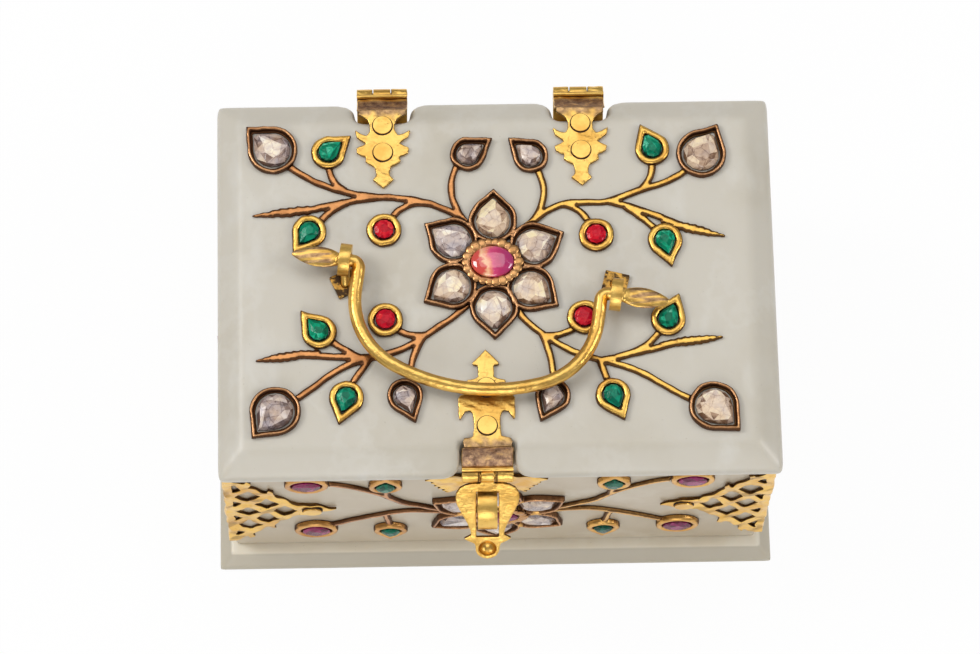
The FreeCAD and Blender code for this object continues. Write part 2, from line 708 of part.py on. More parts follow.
# Staple: a ring on a short neck, its shank through the wall, on a leafy back plate
ring_place = ("hasp_shift - staple_width / 2", f"{hasp_y_formula} - staple_out", staple_z_formula)
disc = rod("staple_disc", "staple_radius", "staple_width", ring_place, x_axis)
eye_hole = rod(
    "staple_eye", "staple_radius - staple_band", "staple_width + 2 * overrun", ring_place, x_axis, "-overrun"
)
ring = cut("staple_ring", disc, [eye_hole])
neck_length = "hasp_out - strap_thickness + staple_out - staple_radius + staple_band / 2"
neck = rod("staple_stem", "staple_neck", neck_length, staple_root, side_normals["front"])
shank = rod("staple_tail", "staple_shank", "wall + strap_thickness", staple_root, y_axis)
keep(joined("staple_whole", [ring, neck, shank]), "staple")

teeth = 9
tooth_share = 0.80


tooth_point_share = 0.7
leaf_start_share = 0.1
leaf_span_share = 0.86


def serrated(root, tip, half, height):
    """A leaf between two points whose edges are cut into teeth that point to its tip."""
    along = tip - root
    across = Vector(-along.y, along.x, 0).normalize()
    steps = []
    for tooth in range(teeth):
        for step, reach in ((0, tooth_share), (tooth_point_share, 1)):
            share = (tooth + step) / teeth
            swell = math.sin(math.pi * (leaf_start_share + leaf_span_share * share))
            steps.append((share, reach * swell))
    side = [root + along * share + across * (half * width) for share, width in steps]
    other = [root + along * share - across * (half * width) for share, width in reversed(steps)]
    return prism(polygon(side + [tip] + other), height)


staple_z = hasp_z - size.staple_below
comb_tip = Vector(*comb_tip_shares, 0)
comb_way = Vector(*comb_foot_shares, 0) - comb_tip
comb_points = [comb_tip]
for tooth in range(1, comb_teeth):
    point = comb_tip + comb_way * (tooth / comb_teeth)
    comb_points += [point - x_axis * comb_notch_share, point]
comb_points.append(comb_tip + comb_way)
wing_line = [Vector(*share, 0) for share in wing_top_shares] + comb_points
wing_line += [Vector(*share, 0) for share in wing_back_shares]
wings = []
for sign in (-1, 1):
    reach = Vector(sign * size.staple_plate_half, size.staple_wing_drop, 0)
    line = [Vector(point.x * reach.x, point.y * reach.y, 0) for point in wing_line]
    wings.append(prism(polygon(line), size.strap_thickness))
core = Part.makeCylinder(size.staple_plate_rise, size.strap_thickness)
staple_plate = fused(wings + [core]).cut(
    hole(size.staple_shank + size.rivet_clearance, size.strap_thickness, z_axis * size.strap_thickness)
)
front_turn = Rotation(x_axis, z_axis, side_normals["front"], "ZXY")
feature("staple_plate", staple_plate, Placement(Vector(size.hasp_shift, -half_depth, staple_z), front_turn))

# Corner mounts: pierced wings on two walls, one piece round each corner
wing_points = [Vector(-size.mount_thickness, size.mount_half, 0)]
for along, across in mount_shares:
    wing_points.append(Vector(along * size.mount_reach, across * size.mount_half, 0))
wing_outline = wing_points + [Vector(size.mount_reach, 0, 0)]
wing_outline += [Vector(point.x, -point.y, 0) for point in reversed(wing_points)]
wing = prism(polygon(wing_outline), size.mount_thickness)
wing_tools = [
    hole(size.rivet_radius + size.rivet_clearance, size.mount_thickness,
         Vector(size.mount_rivet, 0, size.mount_thickness))
]
cell_long = size.mount_lattice / lattice_rows
cell_tall = size.mount_half * lattice_half_share / lattice_rows
for first in range(lattice_rows):
    for second in range(lattice_rows - first):
        column = lattice_rows - 1 - first - second
        centre = Vector(column * cell_long, (second - first) * cell_tall, -size.overrun)
        long = cell_long * lattice_open_share
        tall = cell_tall * lattice_open_share
        if column:
            cell = [Vector(long, 0, 0), Vector(0, tall, 0), Vector(-long, 0, 0), Vector(0, -tall, 0)]
        else:
            edge = size.mount_edge
            edge_tall = tall * (1 - edge / long)
            cell = [Vector(long, 0, 0), Vector(edge, edge_tall, 0), Vector(edge, -edge_tall, 0)]
        opening = polygon([centre + point for point in cell])
        wing_tools.append(prism(opening, size.mount_thickness + size.overrun * 2))
wing = wing.cut(Part.makeCompound(wing_tools))
for depth_name, y_sign in (("front", -1), ("rear", 1)):
    for width_name, x_sign in (("left", -1), ("right", 1)):
        corner = Vector(x_sign * half_width, y_sign * half_depth, middle)
        halves = []
        for inward, outward in ((x_axis * -x_sign, y_axis * y_sign), (y_axis * -y_sign, x_axis * x_sign)):
            half = wing.copy()
            half.Placement = Placement(corner, Rotation(inward, outward.cross(inward), outward, "ZXY"))
            halves.append(half)
        feature(f"corner_mount_{depth_name}_{width_name}", fused(halves))

# Settings and stones, drawn flat in a face's own plane with +Z out of the face
drop_sides = 9
round_sides = 12
table_share = 0.62


def turned(point, at, angle):
    return at + Rotation(z_axis, angle).multVec(point)


def drop(radius, reach, at, angle):
    """A round outline drawn out to one point."""
    spread = math.acos(radius / reach)
    tip = turned(Vector(reach, 0, 0), at, angle)
    first = turned(Vector(radius * math.cos(spread), radius * math.sin(spread), 0), at, angle)
    back = turned(Vector(-radius, 0, 0), at, angle)
    last = turned(Vector(radius * math.cos(spread), -radius * math.sin(spread), 0), at, angle)
    arc = Part.Arc(first, back, last).toShape()
    return Part.Wire([Part.makeLine(tip, first), arc, Part.makeLine(last, tip)])


def ring_wire(radius, at):
    return Part.Wire([Part.makeCircle(radius, at)])


def drop_points(radius, reach, at, angle):
    """The facet corners of a drop-cut stone."""
    spread = math.acos(radius / reach)
    step = 2 * (math.pi - spread) / drop_sides
    turns = [spread + step * number for number in range(drop_sides + 1)]
    arc = [Vector(radius * math.cos(turn), radius * math.sin(turn), 0) for turn in turns]
    return [turned(p, at, angle) for p in [Vector(reach, 0, 0)] + arc]


def oval_points(wide, tall, at, sides=round_sides):
    """The facet corners of a round or oval stone."""
    turns = [2 * math.pi * number / sides for number in range(sides)]
    return [at + Vector(wide * math.cos(turn), tall * math.sin(turn), 0) for turn in turns]


def stone(points, at, girdle, rise):
    """A cut stone: an upright girdle, one ring of facets and a flat table."""
    low = points
    high = [p + z_axis * girdle for p in points]
    table = [at + (p - at) * table_share + z_axis * (girdle + rise) for p in points]
    faces = [Part.Face(polygon(low)), Part.Face(polygon(table))]
    for below, above in ((low, high), (high, table)):
        for i in range(len(points)):
            j = (i + 1) % len(points)
            faces.append(Part.Face(polygon([below[i], below[j], above[j], above[i]])))
    return Part.makeSolid(Part.makeShell(faces))


def stem(points, width):
    """A ribbon of even width along a smooth line through its points."""
    half = width / 2
    sides = ([], [])
    for number, point in enumerate(points):
        before = points[max(number - 1, 0)]
        after = points[min(number + 1, len(points) - 1)]
        ahead = after - before
        across = Vector(-ahead.y, ahead.x, 0).normalize() * half
        sides[0].append(point + across)
        sides[1].append(point - across)
    edges = []
    for side in sides:
        curve = Part.BSplineCurve()
        curve.interpolate(side)
        edges.append(curve.toShape())
    edges.append(Part.makeLine(sides[0][0], sides[1][0]))
    edges.append(Part.makeLine(sides[0][-1], sides[1][-1]))
    return prism(Part.Wire(Part.__sortEdges__(edges)), size.stem_height)


class Ornament:
    """Gold, stone seats and stones gathered for one face, drawn to its room and scaled to fit."""

    def __init__(self, room_u, room_v, fit):
        self.room_u = room_u * fit
        self.room_v = room_v * fit
        self.fit = fit
        self.gold = []
        self.seats = []
        self.stones = {}

    def at(self, share):
        return Vector(share[0] * self.room_u, share[1] * self.room_v, 0)

    def stems(self, lines):
        for line in lines:
            self.gold.append(stem([self.at(share) for share in line], size.stem_width * self.fit))

    def leaf(self, root, tip):
        self.gold.append(serrated(self.at(root), self.at(tip), size.leaf_half * self.fit, size.stem_height))

    def add_stone(self, kind, points, at, girdle, rise):
        self.stones.setdefault(kind, []).append(stone(points, at, girdle, rise))

    def set_drop(self, kind, share, angle, outline):
        """A drop-cut stone in a collar of the same outline, given as radius and reach."""
        at = self.at(share)
        radius, reach = outline
        inner = (radius - size.gem_wall) / radius
        seat_radius = radius * inner * self.fit
        seat_reach = reach * inner * self.fit
        cut_radius = seat_radius - size.stone_gap
        self.gold.append(prism(drop(radius * self.fit, reach * self.fit, at, angle), size.setting_height))
        self.seats.append((drop(seat_radius, seat_reach, at, angle), size.setting_height))
        points = drop_points(cut_radius, cut_radius * reach / radius, at, angle)
        self.add_stone(kind, points, at, size.setting_height, size.stone_rise)

    def set_round(self, kind, share, radius):
        """A round stone in a round collar."""
        at = self.at(share)
        inner = (radius - size.gem_wall) * self.fit
        self.gold.append(prism(ring_wire(radius * self.fit, at), size.setting_height))
        self.seats.append((ring_wire(inner, at), size.setting_height))
        points = oval_points(inner - size.stone_gap, inner - size.stone_gap, at)
        self.add_stone(kind, points, at, size.setting_height, size.stone_rise)

    def set_bed(self, kind, at, angle, outline):
        """A drop-cut stone in a sunk bed with a raised rim, given as radius and reach."""
        radius, reach = (length * self.fit for length in outline)
        rim = (radius - size.petal_rim * self.fit) / radius
        inner = rim - size.petal_stone_gap * self.fit / radius
        whole = drop(radius, reach, at, angle)
        hollow = prism(drop(radius * rim, reach * rim, at, angle), size.petal_rim_height)
        hollow.translate(z_axis * size.bed_height)
        self.gold.append(prism(whole, size.petal_rim_height).cut(hollow))
        self.seats.append((drop(radius * inner, reach * inner, at, angle), size.petal_rim_height))
        cut_radius = radius * inner - size.stone_gap
        points = drop_points(cut_radius, cut_radius * reach / radius, at, angle)
        self.add_stone(kind, points, at, size.bed_height, size.petal_stone_rise)

    def petal(self, centre, angle):
        at = turned(Vector(size.petal_out * self.fit, 0, 0), centre, angle)
        self.set_bed("diamonds", at, angle, (size.petal_radius, size.petal_reach))

    def flower(self, share, angles, kind):
        """Six petals round a toothed heart that holds an oval stone."""
        centre = self.at(share)
        for angle in angles:
            self.petal(centre, angle)
        crown = []
        for number in range(heart_teeth * 2):
            turn = math.pi * number / heart_teeth
            back = size.heart_tooth * (number % 2)
            wide = (size.heart_wide - back) * self.fit
            tall = (size.heart_tall - back) * self.fit
            crown.append(centre + Vector(wide * math.cos(turn), tall * math.sin(turn), 0))
        self.gold.append(prism(polygon(crown), size.heart_height))
        wide = (size.heart_wide - size.heart_wall) * self.fit
        tall = (size.heart_tall - size.heart_wall) * self.fit
        self.seats.append((polygon(oval_points(wide, tall, centre)), size.heart_height))
        points = oval_points(wide - size.stone_gap, tall - size.stone_gap, centre)
        self.add_stone(kind, points, centre, size.heart_height, size.heart_stone_rise)

    def setting(self):
        """All the gold as one piece, with the stones' seats cut through it."""
        seats = []
        for wire, height in self.seats:
            tool = prism(wire, height + size.overrun * 2)
            tool.translate(z_axis * -size.overrun)
            seats.append(tool)
        return fused(self.gold).cut(Part.makeCompound(seats))


heart_teeth = 22
petal_angles = (88, 147, 210, 271, 325, 24)
lid_flower_share = (-0.016, 0.088)

# One spray for each quarter of the lid. Places are shares of the spray's half width and half depth.
lid_spray_shares = {
    "rear_left": {
        "stems": [
            [
                (-0.075, 0.24), (-0.118, 0.328), (-0.21, 0.405), (-0.31, 0.444),
                (-0.40, 0.458), (-0.53, 0.485), (-0.638, 0.541), (-0.745, 0.64),
            ],
            [(-0.40, 0.458), (-0.53, 0.434), (-0.68, 0.39)],
            [(-0.596, 0.63), (-0.578, 0.55), (-0.54, 0.495)],
            [(-0.64, 0.31), (-0.59, 0.38), (-0.53, 0.43)],
            [(-0.38, 0.33), (-0.335, 0.395), (-0.25, 0.425)],
            [(-0.135, 0.62), (-0.157, 0.50), (-0.150, 0.43), (-0.122, 0.345), (-0.075, 0.24)],
        ],
        "leaf": [(-0.59, 0.405), (-0.872, 0.364)],
        "emeralds": [(-0.596, 0.70), (-0.667, 0.274)],
        "emerald_angles": (38, 236),
        "ruby": (-0.40, 0.277),
        "bud": (-0.095, 0.682),
        "bud_angle": 33,
        "corner": (-0.796, 0.718),
        "corner_angle": 137,
    },
    "rear_right": {
        "stems": [
            [
                (0.055, 0.234), (0.120, 0.297), (0.175, 0.362), (0.264, 0.412),
                (0.402, 0.418), (0.505, 0.470), (0.625, 0.526), (0.70, 0.60),
            ],
            [(0.402, 0.418), (0.509, 0.374), (0.60, 0.323), (0.69, 0.262)],
            [(0.567, 0.62), (0.556, 0.54), (0.525, 0.482)],
            [(0.575, 0.26), (0.516, 0.335), (0.465, 0.388)],
            [(0.335, 0.30), (0.296, 0.372), (0.235, 0.405)],
            [(0.152, 0.60), (0.175, 0.48), (0.166, 0.40), (0.125, 0.31), (0.055, 0.234)],
        ],
        "leaf": [(0.59, 0.307), (0.822, 0.218)],
        "emeralds": [(0.569, 0.697), (0.604, 0.203)],
        "emerald_angles": (113, 282),
        "ruby": (0.358, 0.236),
        "bud": (0.131, 0.667),
        "bud_angle": 139,
        "corner": (0.745, 0.667),
        "corner_angle": 60,
    },
    "front_left": {
        "stems": [
            [
                (-0.076, -0.063), (-0.145, -0.174), (-0.244, -0.272), (-0.353, -0.362),
                (-0.473, -0.405), (-0.55, -0.447), (-0.653, -0.546), (-0.74, -0.63),
            ],
            [(-0.45, -0.40), (-0.582, -0.392), (-0.72, -0.378)],
            [(-0.60, -0.30), (-0.545, -0.356), (-0.49, -0.40)],
            [(-0.525, -0.54), (-0.488, -0.467), (-0.456, -0.40)],
            [(-0.37, -0.24), (-0.312, -0.282), (-0.245, -0.278)],
            [(-0.318, -0.53), (-0.302, -0.397), (-0.264, -0.29)],
        ],
        "leaf": [(-0.63, -0.364), (-0.862, -0.41)],
        "emeralds": [(-0.636, -0.262), (-0.542, -0.61)],
        "emerald_angles": (129, 255),
        "ruby": (-0.40, -0.203),
        "bud": (-0.335, -0.605),
        "bud_angle": 290,
        "corner": (-0.793, -0.675),
        "corner_angle": 230,
    },
    "front_right": {
        "stems": [
            [
                (0.044, -0.064), (0.102, -0.22), (0.173, -0.303), (0.278, -0.39),
                (0.364, -0.43), (0.464, -0.474), (0.591, -0.574), (0.70, -0.66),
            ],
            [(0.364, -0.43), (0.509, -0.387), (0.66, -0.334)],
            [(0.575, -0.28), (0.515, -0.362), (0.445, -0.405)],
            [(0.384, -0.54), (0.368, -0.477), (0.355, -0.425)],
            [(0.28, -0.25), (0.222, -0.288), (0.165, -0.295)],
            [(0.192, -0.53), (0.18, -0.397), (0.152, -0.28)],
        ],
        "leaf": [(0.57, -0.351), (0.80, -0.318)],
        "emeralds": [(0.605, -0.22), (0.40, -0.615)],
        "emerald_angles": (66, 292),
        "ruby": (0.307, -0.203),
        "bud": (0.187, -0.615),
        "bud_angle": 244,
        "corner": (0.756, -0.682),
        "corner_angle": 314,
    },
}
emerald_outline = (size.emerald_radius, size.emerald_reach)
bud_outline = (size.bud_radius, size.bud_reach)
corner_outline = (size.corner_radius, size.corner_reach)
lid_place = Placement(Vector(0, 0, lid_top), Rotation())
lid_flower = Ornament(size.spray_half_width, size.spray_half_depth, lid_fit)
lid_flower.flower(lid_flower_share, petal_angles, "ruby")
feature("lid_flower_setting", lid_flower.setting(), lid_place)
feature("lid_petal_diamonds", Part.makeCompound(lid_flower.stones["diamonds"]), lid_place)
feature("lid_flower_ruby", lid_flower.stones["ruby"][0], lid_place)

flower_centre = lid_flower.at(lid_flower_share)
flower_clear = []
for angle in petal_angles:
    at = turned(Vector(size.petal_out * lid_fit, 0, 0), flower_centre, angle)
    room_radius = size.petal_radius * lid_fit + size.stone_gap
    room_reach = size.petal_reach * lid_fit + size.stone_gap
    room = drop(room_radius, room_reach, at, angle)
    flower_clear.append(prism(room, size.heart_height))
flower_clear = Part.makeCompound(flower_clear)

lid_stones = {}
for quarter, spray in lid_spray_shares.items():
    ornament = Ornament(size.spray_half_width, size.spray_half_depth, lid_fit)
    ornament.stems(spray["stems"])
    ornament.leaf(*spray["leaf"])
    for share, angle in zip(spray["emeralds"], spray["emerald_angles"]):
        ornament.set_drop("lid_emeralds", share, angle, emerald_outline)
    ornament.set_bed("lid_bud_diamonds", ornament.at(spray["bud"]), spray["bud_angle"], bud_outline)
    corner_at = ornament.at(spray["corner"])
    ornament.set_bed("lid_corner_diamonds", corner_at, spray["corner_angle"], corner_outline)
    ornament.set_round("lid_rubies", spray["ruby"], size.ruby_radius)
    gold = ornament.setting().cut(flower_clear)
    feature(f"lid_spray_{quarter}", max(gold.Solids, key=lambda solid: solid.Volume), lid_place)
    for kind, stones in ornament.stones.items():
        lid_stones.setdefault(kind, []).extend(stones)
for kind, stones in lid_stones.items():
    feature(kind, Part.makeCompound(stones), lid_place)

# Walls: a flower with the same branches on both hands. Places are shares of the drawn half sizes,
# counted from the flower's middle, which hangs one petal below the staple's plate.
wall_petal_angles = (90, 148, 212, 270, 328, 32)
end_petal_angle = 32
long_wall_shares = {
    "upper": [
        (0.08, 0.0), (0.17, 0.05), (0.227, 0.09), (0.296, 0.18), (0.354, 0.26),
        (0.414, 0.43), (0.482, 0.58), (0.57, 0.72), (0.66, 0.79),
    ],
    "lower": [
        (0.08, 0.0), (0.17, 0.0), (0.277, 0.04), (0.352, 0.04), (0.43, -0.03), (0.541, -0.17), (0.64, -0.32),
    ],
    "upper_ruby": (0.71, 0.80),
    "lower_ruby": (0.683, -0.38),
    "upper_stem": [(0.42, 0.66), (0.418, 0.54), (0.411, 0.40)],
    "lower_stem": [(0.403, -0.34), (0.412, -0.19), (0.424, -0.01)],
    "upper_emerald": (0.42, 0.74),
    "lower_emerald": (0.403, -0.42),
}
short_wall_shares = {
    "upper": [(0.10, 0.0), (0.22, 0.08), (0.32, 0.23), (0.41, 0.40), (0.46, 0.56)],
    "lower": [(0.10, 0.0), (0.22, -0.06), (0.34, -0.13), (0.42, -0.26), (0.47, -0.42)],
    "lower_ruby": (0.50, -0.52),
    "upper_emerald": (0.48, 0.64),
}
emerald_angles = {"upper_emerald": 90, "lower_emerald": 270}


def wall_ornament(room_u, fit, shares, parts):
    """The flower and the chosen branches of one wall, alike on the left and the right."""
    ornament = Ornament(room_u, size.panel_half_height, fit)
    ornament.flower((0, 0), wall_petal_angles, "rubies")
    for sign in (-1, 1):
        for name in parts:
            if name.endswith("emerald"):
                u, v = shares[name]
                angle = emerald_angles[name]
                ornament.set_drop("emeralds", (sign * u, v), angle, emerald_outline)
            elif name.endswith("ruby"):
                u, v = shares[name]
                ornament.set_round("rubies", (sign * u, v), size.wall_ruby_radius)
            else:
                ornament.stems([[(sign * u, v) for u, v in shares[name]]])
    return ornament


height_fit = size.wall_height / 2 / size.panel_half_height
long_fit = min(half_width / size.panel_half_width, height_fit)
petal_tip = size.petal_out + size.petal_reach
end_room = half_depth - size.mount_reach - size.end_gap
end_reach = petal_tip * math.cos(math.radians(end_petal_angle))
end_fit = min(half_depth / size.end_half_width, height_fit, end_room / end_reach)
rear_parts = [name for name in long_wall_shares if name not in ("upper_stem", "upper_emerald")]
wall_parts = {
    "front": (size.panel_half_width, long_fit, long_wall_shares, list(long_wall_shares)),
    "rear": (size.panel_half_width, long_fit, long_wall_shares, rear_parts),
    "left": (size.end_half_width, end_fit, short_wall_shares, list(short_wall_shares)),
    "right": (size.end_half_width, end_fit, short_wall_shares, list(short_wall_shares)),
}
for side, normal in side_normals.items():
    room_u, fit, shares, parts = wall_parts[side]
    ornament = wall_ornament(room_u, fit, shares, parts)
    reach = half_depth if normal.y else half_width
    flower_z = staple_z - size.staple_plate_rise - size.petal_gap - petal_tip * fit
    turn = Rotation(Vector(-normal.y, normal.x, 0), z_axis, normal, "ZXY")
    there = Placement(normal * reach + z_axis * flower_z, turn)
    feature(f"{side}_setting", ornament.setting(), there)
    for kind, stones in ornament.stones.items():
        feature(f"{side}_{kind}", Part.makeCompound(stones), there)

# Bail handle: a round bar bent through both eyes, drawn out to a leaf beyond each
span = pivot_length
inset = size.bail_inset
bend = size.bail_bend
corner = size.bail_corner
leg = size.bail_leg
rise = size.bail_depth - leg
middle_u = span / 2
run = middle_u - inset - corner
front_radius = (run ** 2 + rise ** 2 - corner ** 2) / (2 * (rise - corner))
front_centre = Vector(middle_u, -(size.bail_depth - front_radius), 0)
corner_centre = Vector(inset + corner, -leg, 0)
meeting = corner_centre + (corner_centre - front_centre).normalize() * corner
half_turn = math.sqrt(0.5)
neck_end = size.eye_width / 2 + size.eye_clearance
outer_way = (corner_centre - Vector(inset, -leg, 0)).Length
meeting_turn = math.atan2(meeting.y - corner_centre.y, meeting.x - corner_centre.x)
corner_mid_turn = (math.pi * 3 + meeting_turn) / 2
corner_mid = corner_centre + Vector(math.cos(corner_mid_turn), math.sin(corner_mid_turn), 0) * outer_way
front_point = Vector(middle_u, -size.bail_depth, 0)


def across_bail(point):
    return Vector(span - point.x, point.y, 0)


left_neck = Vector(-neck_end, 0, 0)
left_turn_start = Vector(inset - bend, 0, 0)
left_turn_mid = Vector(inset - bend + bend * half_turn, -bend + bend * half_turn, 0)
left_turn_end = Vector(inset, -bend, 0)
left_leg_end = Vector(inset, -leg, 0)
path = Part.Wire([
    Part.makeLine(left_neck, left_turn_start),
    Part.Arc(left_turn_start, left_turn_mid, left_turn_end).toShape(),
    Part.makeLine(left_turn_end, left_leg_end),
    Part.Arc(left_leg_end, corner_mid, meeting).toShape(),
    Part.Arc(meeting, front_point, across_bail(meeting)).toShape(),
    Part.Arc(across_bail(meeting), across_bail(corner_mid), across_bail(left_leg_end)).toShape(),
    Part.makeLine(across_bail(left_leg_end), across_bail(left_turn_end)),
    Part.Arc(across_bail(left_turn_end), across_bail(left_turn_mid), across_bail(left_turn_start)).toShape(),
    Part.makeLine(across_bail(left_turn_start), across_bail(left_neck)),
])
profile = Part.Wire([Part.makeCircle(size.bail_radius, left_neck, x_axis)])
bar = path.makePipeShell([profile], True, False)

# Leaf sections: shares of the leaf's length, half width and thickness, from a root inside the bar
bail_leaf_shares = [(0.34, 1.0, 1.0), (0.70, 0.78, 0.85), (1.0, 0.16, 0.35)]
leaf_root_shares = (0.86, 0.80)


def oval(at, wide, tall):
    """An oval section across the pivot line, wider than tall."""
    return Part.Wire([Part.Ellipse(at + y_axis * wide, at + z_axis * tall, at).toShape()])


root_wide, root_thick = (share * size.bail_radius for share in leaf_root_shares)
sections = [oval(x_axis * size.eye_clearance, root_wide, root_thick)]
for along, wide, thick in bail_leaf_shares:
    at = Vector(-along * size.bail_leaf_length, 0, 0)
    sections.append(oval(at, wide * size.bail_leaf_half, thick * size.bail_leaf_thick))
leaf = Part.makeLoft(sections, True, False)
left_leaf = leaf.copy()
left_leaf.translate(left_neck)
right_leaf = leaf.mirror(Vector(), x_axis)
right_leaf.translate(across_bail(left_neck))
handle = bar.multiFuse([left_leaf, right_leaf])
skew = math.degrees(math.atan2(pivot_line.y, pivot_line.x))
slope = math.degrees(math.asin(size.bail_drop / size.bail_depth))
handle_turn = Rotation(z_axis, skew) * Rotation(x_axis, slope)
feature("handle", handle, Placement(eye_places["left"], handle_turn))

doc.recompute()
faults = [obj.Label for obj in doc.Objects if {"Invalid", "Error"} & set(obj.State)]
for obj in nodes:
    if obj.Shape.isNull() or not obj.Shape.isValid() or not obj.Shape.Solids:
        faults.append(obj.Label)
if faults:
    raise SystemExit(f"failed: {faults}")
os.makedirs("parts", exist_ok=True)
for obj in nodes:
    obj.Shape.exportStep(f"parts/{obj.Label}.step")
    print(f"{obj.Label}: {len(obj.Shape.Solids)} solids, {obj.Shape.Volume:.1f} mm3")
print(f"{len(nodes)} nodes")
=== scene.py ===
import math
import random

import bmesh
import bpy
import numpy as np
from mathutils import Euler, Matrix, Vector


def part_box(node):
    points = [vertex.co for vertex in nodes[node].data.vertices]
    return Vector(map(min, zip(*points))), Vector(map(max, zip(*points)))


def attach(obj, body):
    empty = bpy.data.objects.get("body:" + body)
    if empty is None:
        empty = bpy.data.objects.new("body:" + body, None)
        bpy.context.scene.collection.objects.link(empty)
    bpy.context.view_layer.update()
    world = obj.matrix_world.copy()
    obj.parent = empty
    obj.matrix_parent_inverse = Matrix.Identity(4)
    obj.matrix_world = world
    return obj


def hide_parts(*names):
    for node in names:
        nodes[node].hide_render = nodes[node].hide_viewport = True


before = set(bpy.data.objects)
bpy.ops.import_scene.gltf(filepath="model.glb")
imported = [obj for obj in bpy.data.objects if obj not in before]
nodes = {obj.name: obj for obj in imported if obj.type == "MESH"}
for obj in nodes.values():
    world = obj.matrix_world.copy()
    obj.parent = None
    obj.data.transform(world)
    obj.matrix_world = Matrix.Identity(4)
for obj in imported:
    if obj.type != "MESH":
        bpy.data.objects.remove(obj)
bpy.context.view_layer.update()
scene = bpy.context.scene
scene.view_settings.view_transform = "Standard"
print("frame loaded:", len(nodes), "nodes")


def paint(red, green, blue):
    # a screen colour, 0 to 255, as the linear colour that a shader takes
    parts = [value / 255 for value in (red, green, blue)]
    return tuple(p / 12.92 if p < 0.04045 else ((p + 0.055) / 1.055) ** 2.4 for p in parts) + (1.0,)


class Knob:
    # one socket, with the sums that are written on it
    def __init__(self, finish, socket):
        self.finish = finish
        self.socket = socket

    def sum(self, operation, first, second=0.0):
        return self.finish.node("ShaderNodeMath", {"operation": operation}, {0: first, 1: second})

    def __add__(self, other):
        return self.sum("ADD", self, other)

    def __radd__(self, other):
        return self.sum("ADD", other, self)

    def __sub__(self, other):
        return self.sum("SUBTRACT", self, other)

    def __rsub__(self, other):
        return self.sum("SUBTRACT", other, self)

    def __mul__(self, other):
        return self.sum("MULTIPLY", self, other)

    def __abs__(self):
        return self.sum("ABSOLUTE", self)

    def step(self, low, high):
        # 0 below low, 1 above high, smooth between
        ends = {"Value": self, "From Min": low, "From Max": high, "To Min": 0.0, "To Max": 1.0}
        return self.finish.node("ShaderNodeMapRange", {"interpolation_type": "SMOOTHSTEP"}, ends)


class Web:
    # one node tree and the way that its nodes are made
    def node(self, kind, settings=None, sockets=None, out=0):
        made = self.tree.nodes.new(kind)
        for key, value in (settings or {}).items():
            if key == "stops":
                ramp = made.color_ramp.elements
                while len(ramp) < len(value):
                    ramp.new(0.5)
                for element, (spot, colour) in zip(ramp, value):
                    element.position = spot
                    element.color = colour
            else:
                setattr(made, key, value)
        for key, value in (sockets or {}).items():
            self.plug(made.inputs[key], value)
        return Knob(self, made.outputs[out]) if made.outputs else made

    def plug(self, socket, value):
        if isinstance(value, Knob):
            self.tree.links.new(value.socket, socket)
        else:
            socket.default_value = value


class Finish(Web):
    # one material and its nodes
    def __init__(self, name):
        self.material = bpy.data.materials.new(name)
        self.material.use_nodes = True
        self.tree = self.material.node_tree
        self.tree.nodes.clear()
        self.skin = self.node("ShaderNodeBsdfPrincipled")
        self.shader = self.skin.socket.node
        self.out = self.node("ShaderNodeOutputMaterial", sockets={0: self.skin})
        self.place = self.node("ShaderNodeTexCoord", out="Object")

    def set(self, **values):
        for key, value in values.items():
            self.plug(self.shader.inputs[key.replace("_", " ")], value)

    def noise(self, scale, detail=3.0, rough=0.5, where=None):
        sockets = {"Vector": where or self.place, "Scale": scale, "Detail": detail, "Roughness": rough}
        return self.node("ShaderNodeTexNoise", sockets=sockets)

    def stretched(self, scale, angles):
        sockets = {"Vector": self.place, "Scale": scale, "Rotation": angles}
        return self.node("ShaderNodeMapping", sockets=sockets)

    def mix(self, under, over, share):
        # sockets 6 and 7 take the two colours, and output 2 gives their mix
        return self.node("ShaderNodeMix", {"data_type": "RGBA"}, {0: share, 6: under, 7: over}, out=2)

    def ramp(self, value, stops):
        return self.node("ShaderNodeValToRGB", {"stops": stops}, {0: value})

    def bump(self, height, distance):
        return self.node("ShaderNodeBump", sockets={"Height": height, "Distance": distance})

    def axis(self, name):
        return self.node("ShaderNodeSeparateXYZ", sockets={0: self.place}, out=name)

    def attribute(self, name):
        return self.node("ShaderNodeAttribute", {"attribute_name": name}, out="Fac")


# Jade: pale, cloudy, polished. The walls are a little warmer than the lid. The base's jade is painted much
# lighter than the walls, as painted light that makes up for the shade the lid throws on the ledge, and its
# bevel colour is painted shade on the faces that do not face up
jadeLooks = {
    "lidJade": {
        "body": paint(203, 197, 184), "cloud": paint(191, 183, 166), "milk": paint(216, 213, 205),
        "speck": paint(150, 140, 120), "roughness": (0.28, 0.44), "ripple": 0.00002,
    },
    "wallJade": {
        "body": paint(200, 186, 163), "cloud": paint(186, 170, 144), "milk": paint(212, 203, 186),
        "speck": paint(138, 124, 100), "roughness": (0.28, 0.44), "ripple": 0.00002,
    },
    # painted light: the base is the walls' jade painted lighter, and its bevel colour is painted shade
    "baseJade": {
        "body": paint(242, 233, 214), "cloud": paint(230, 220, 198), "milk": paint(246, 240, 226),
        "speck": paint(140, 128, 106), "bevel": paint(186, 178, 160),
        "roughness": (0.3, 0.46), "ripple": 0.00002,
    },
}
# How fine each of the jade's patterns is, in waves per metre
jadeGrain = {
    "cloud": 34.0, "drift": 95.0, "vein": 24.0, "speck": 1500.0, "scuff": 520.0, "shine": 260.0,
    "ripple": 210.0,
}


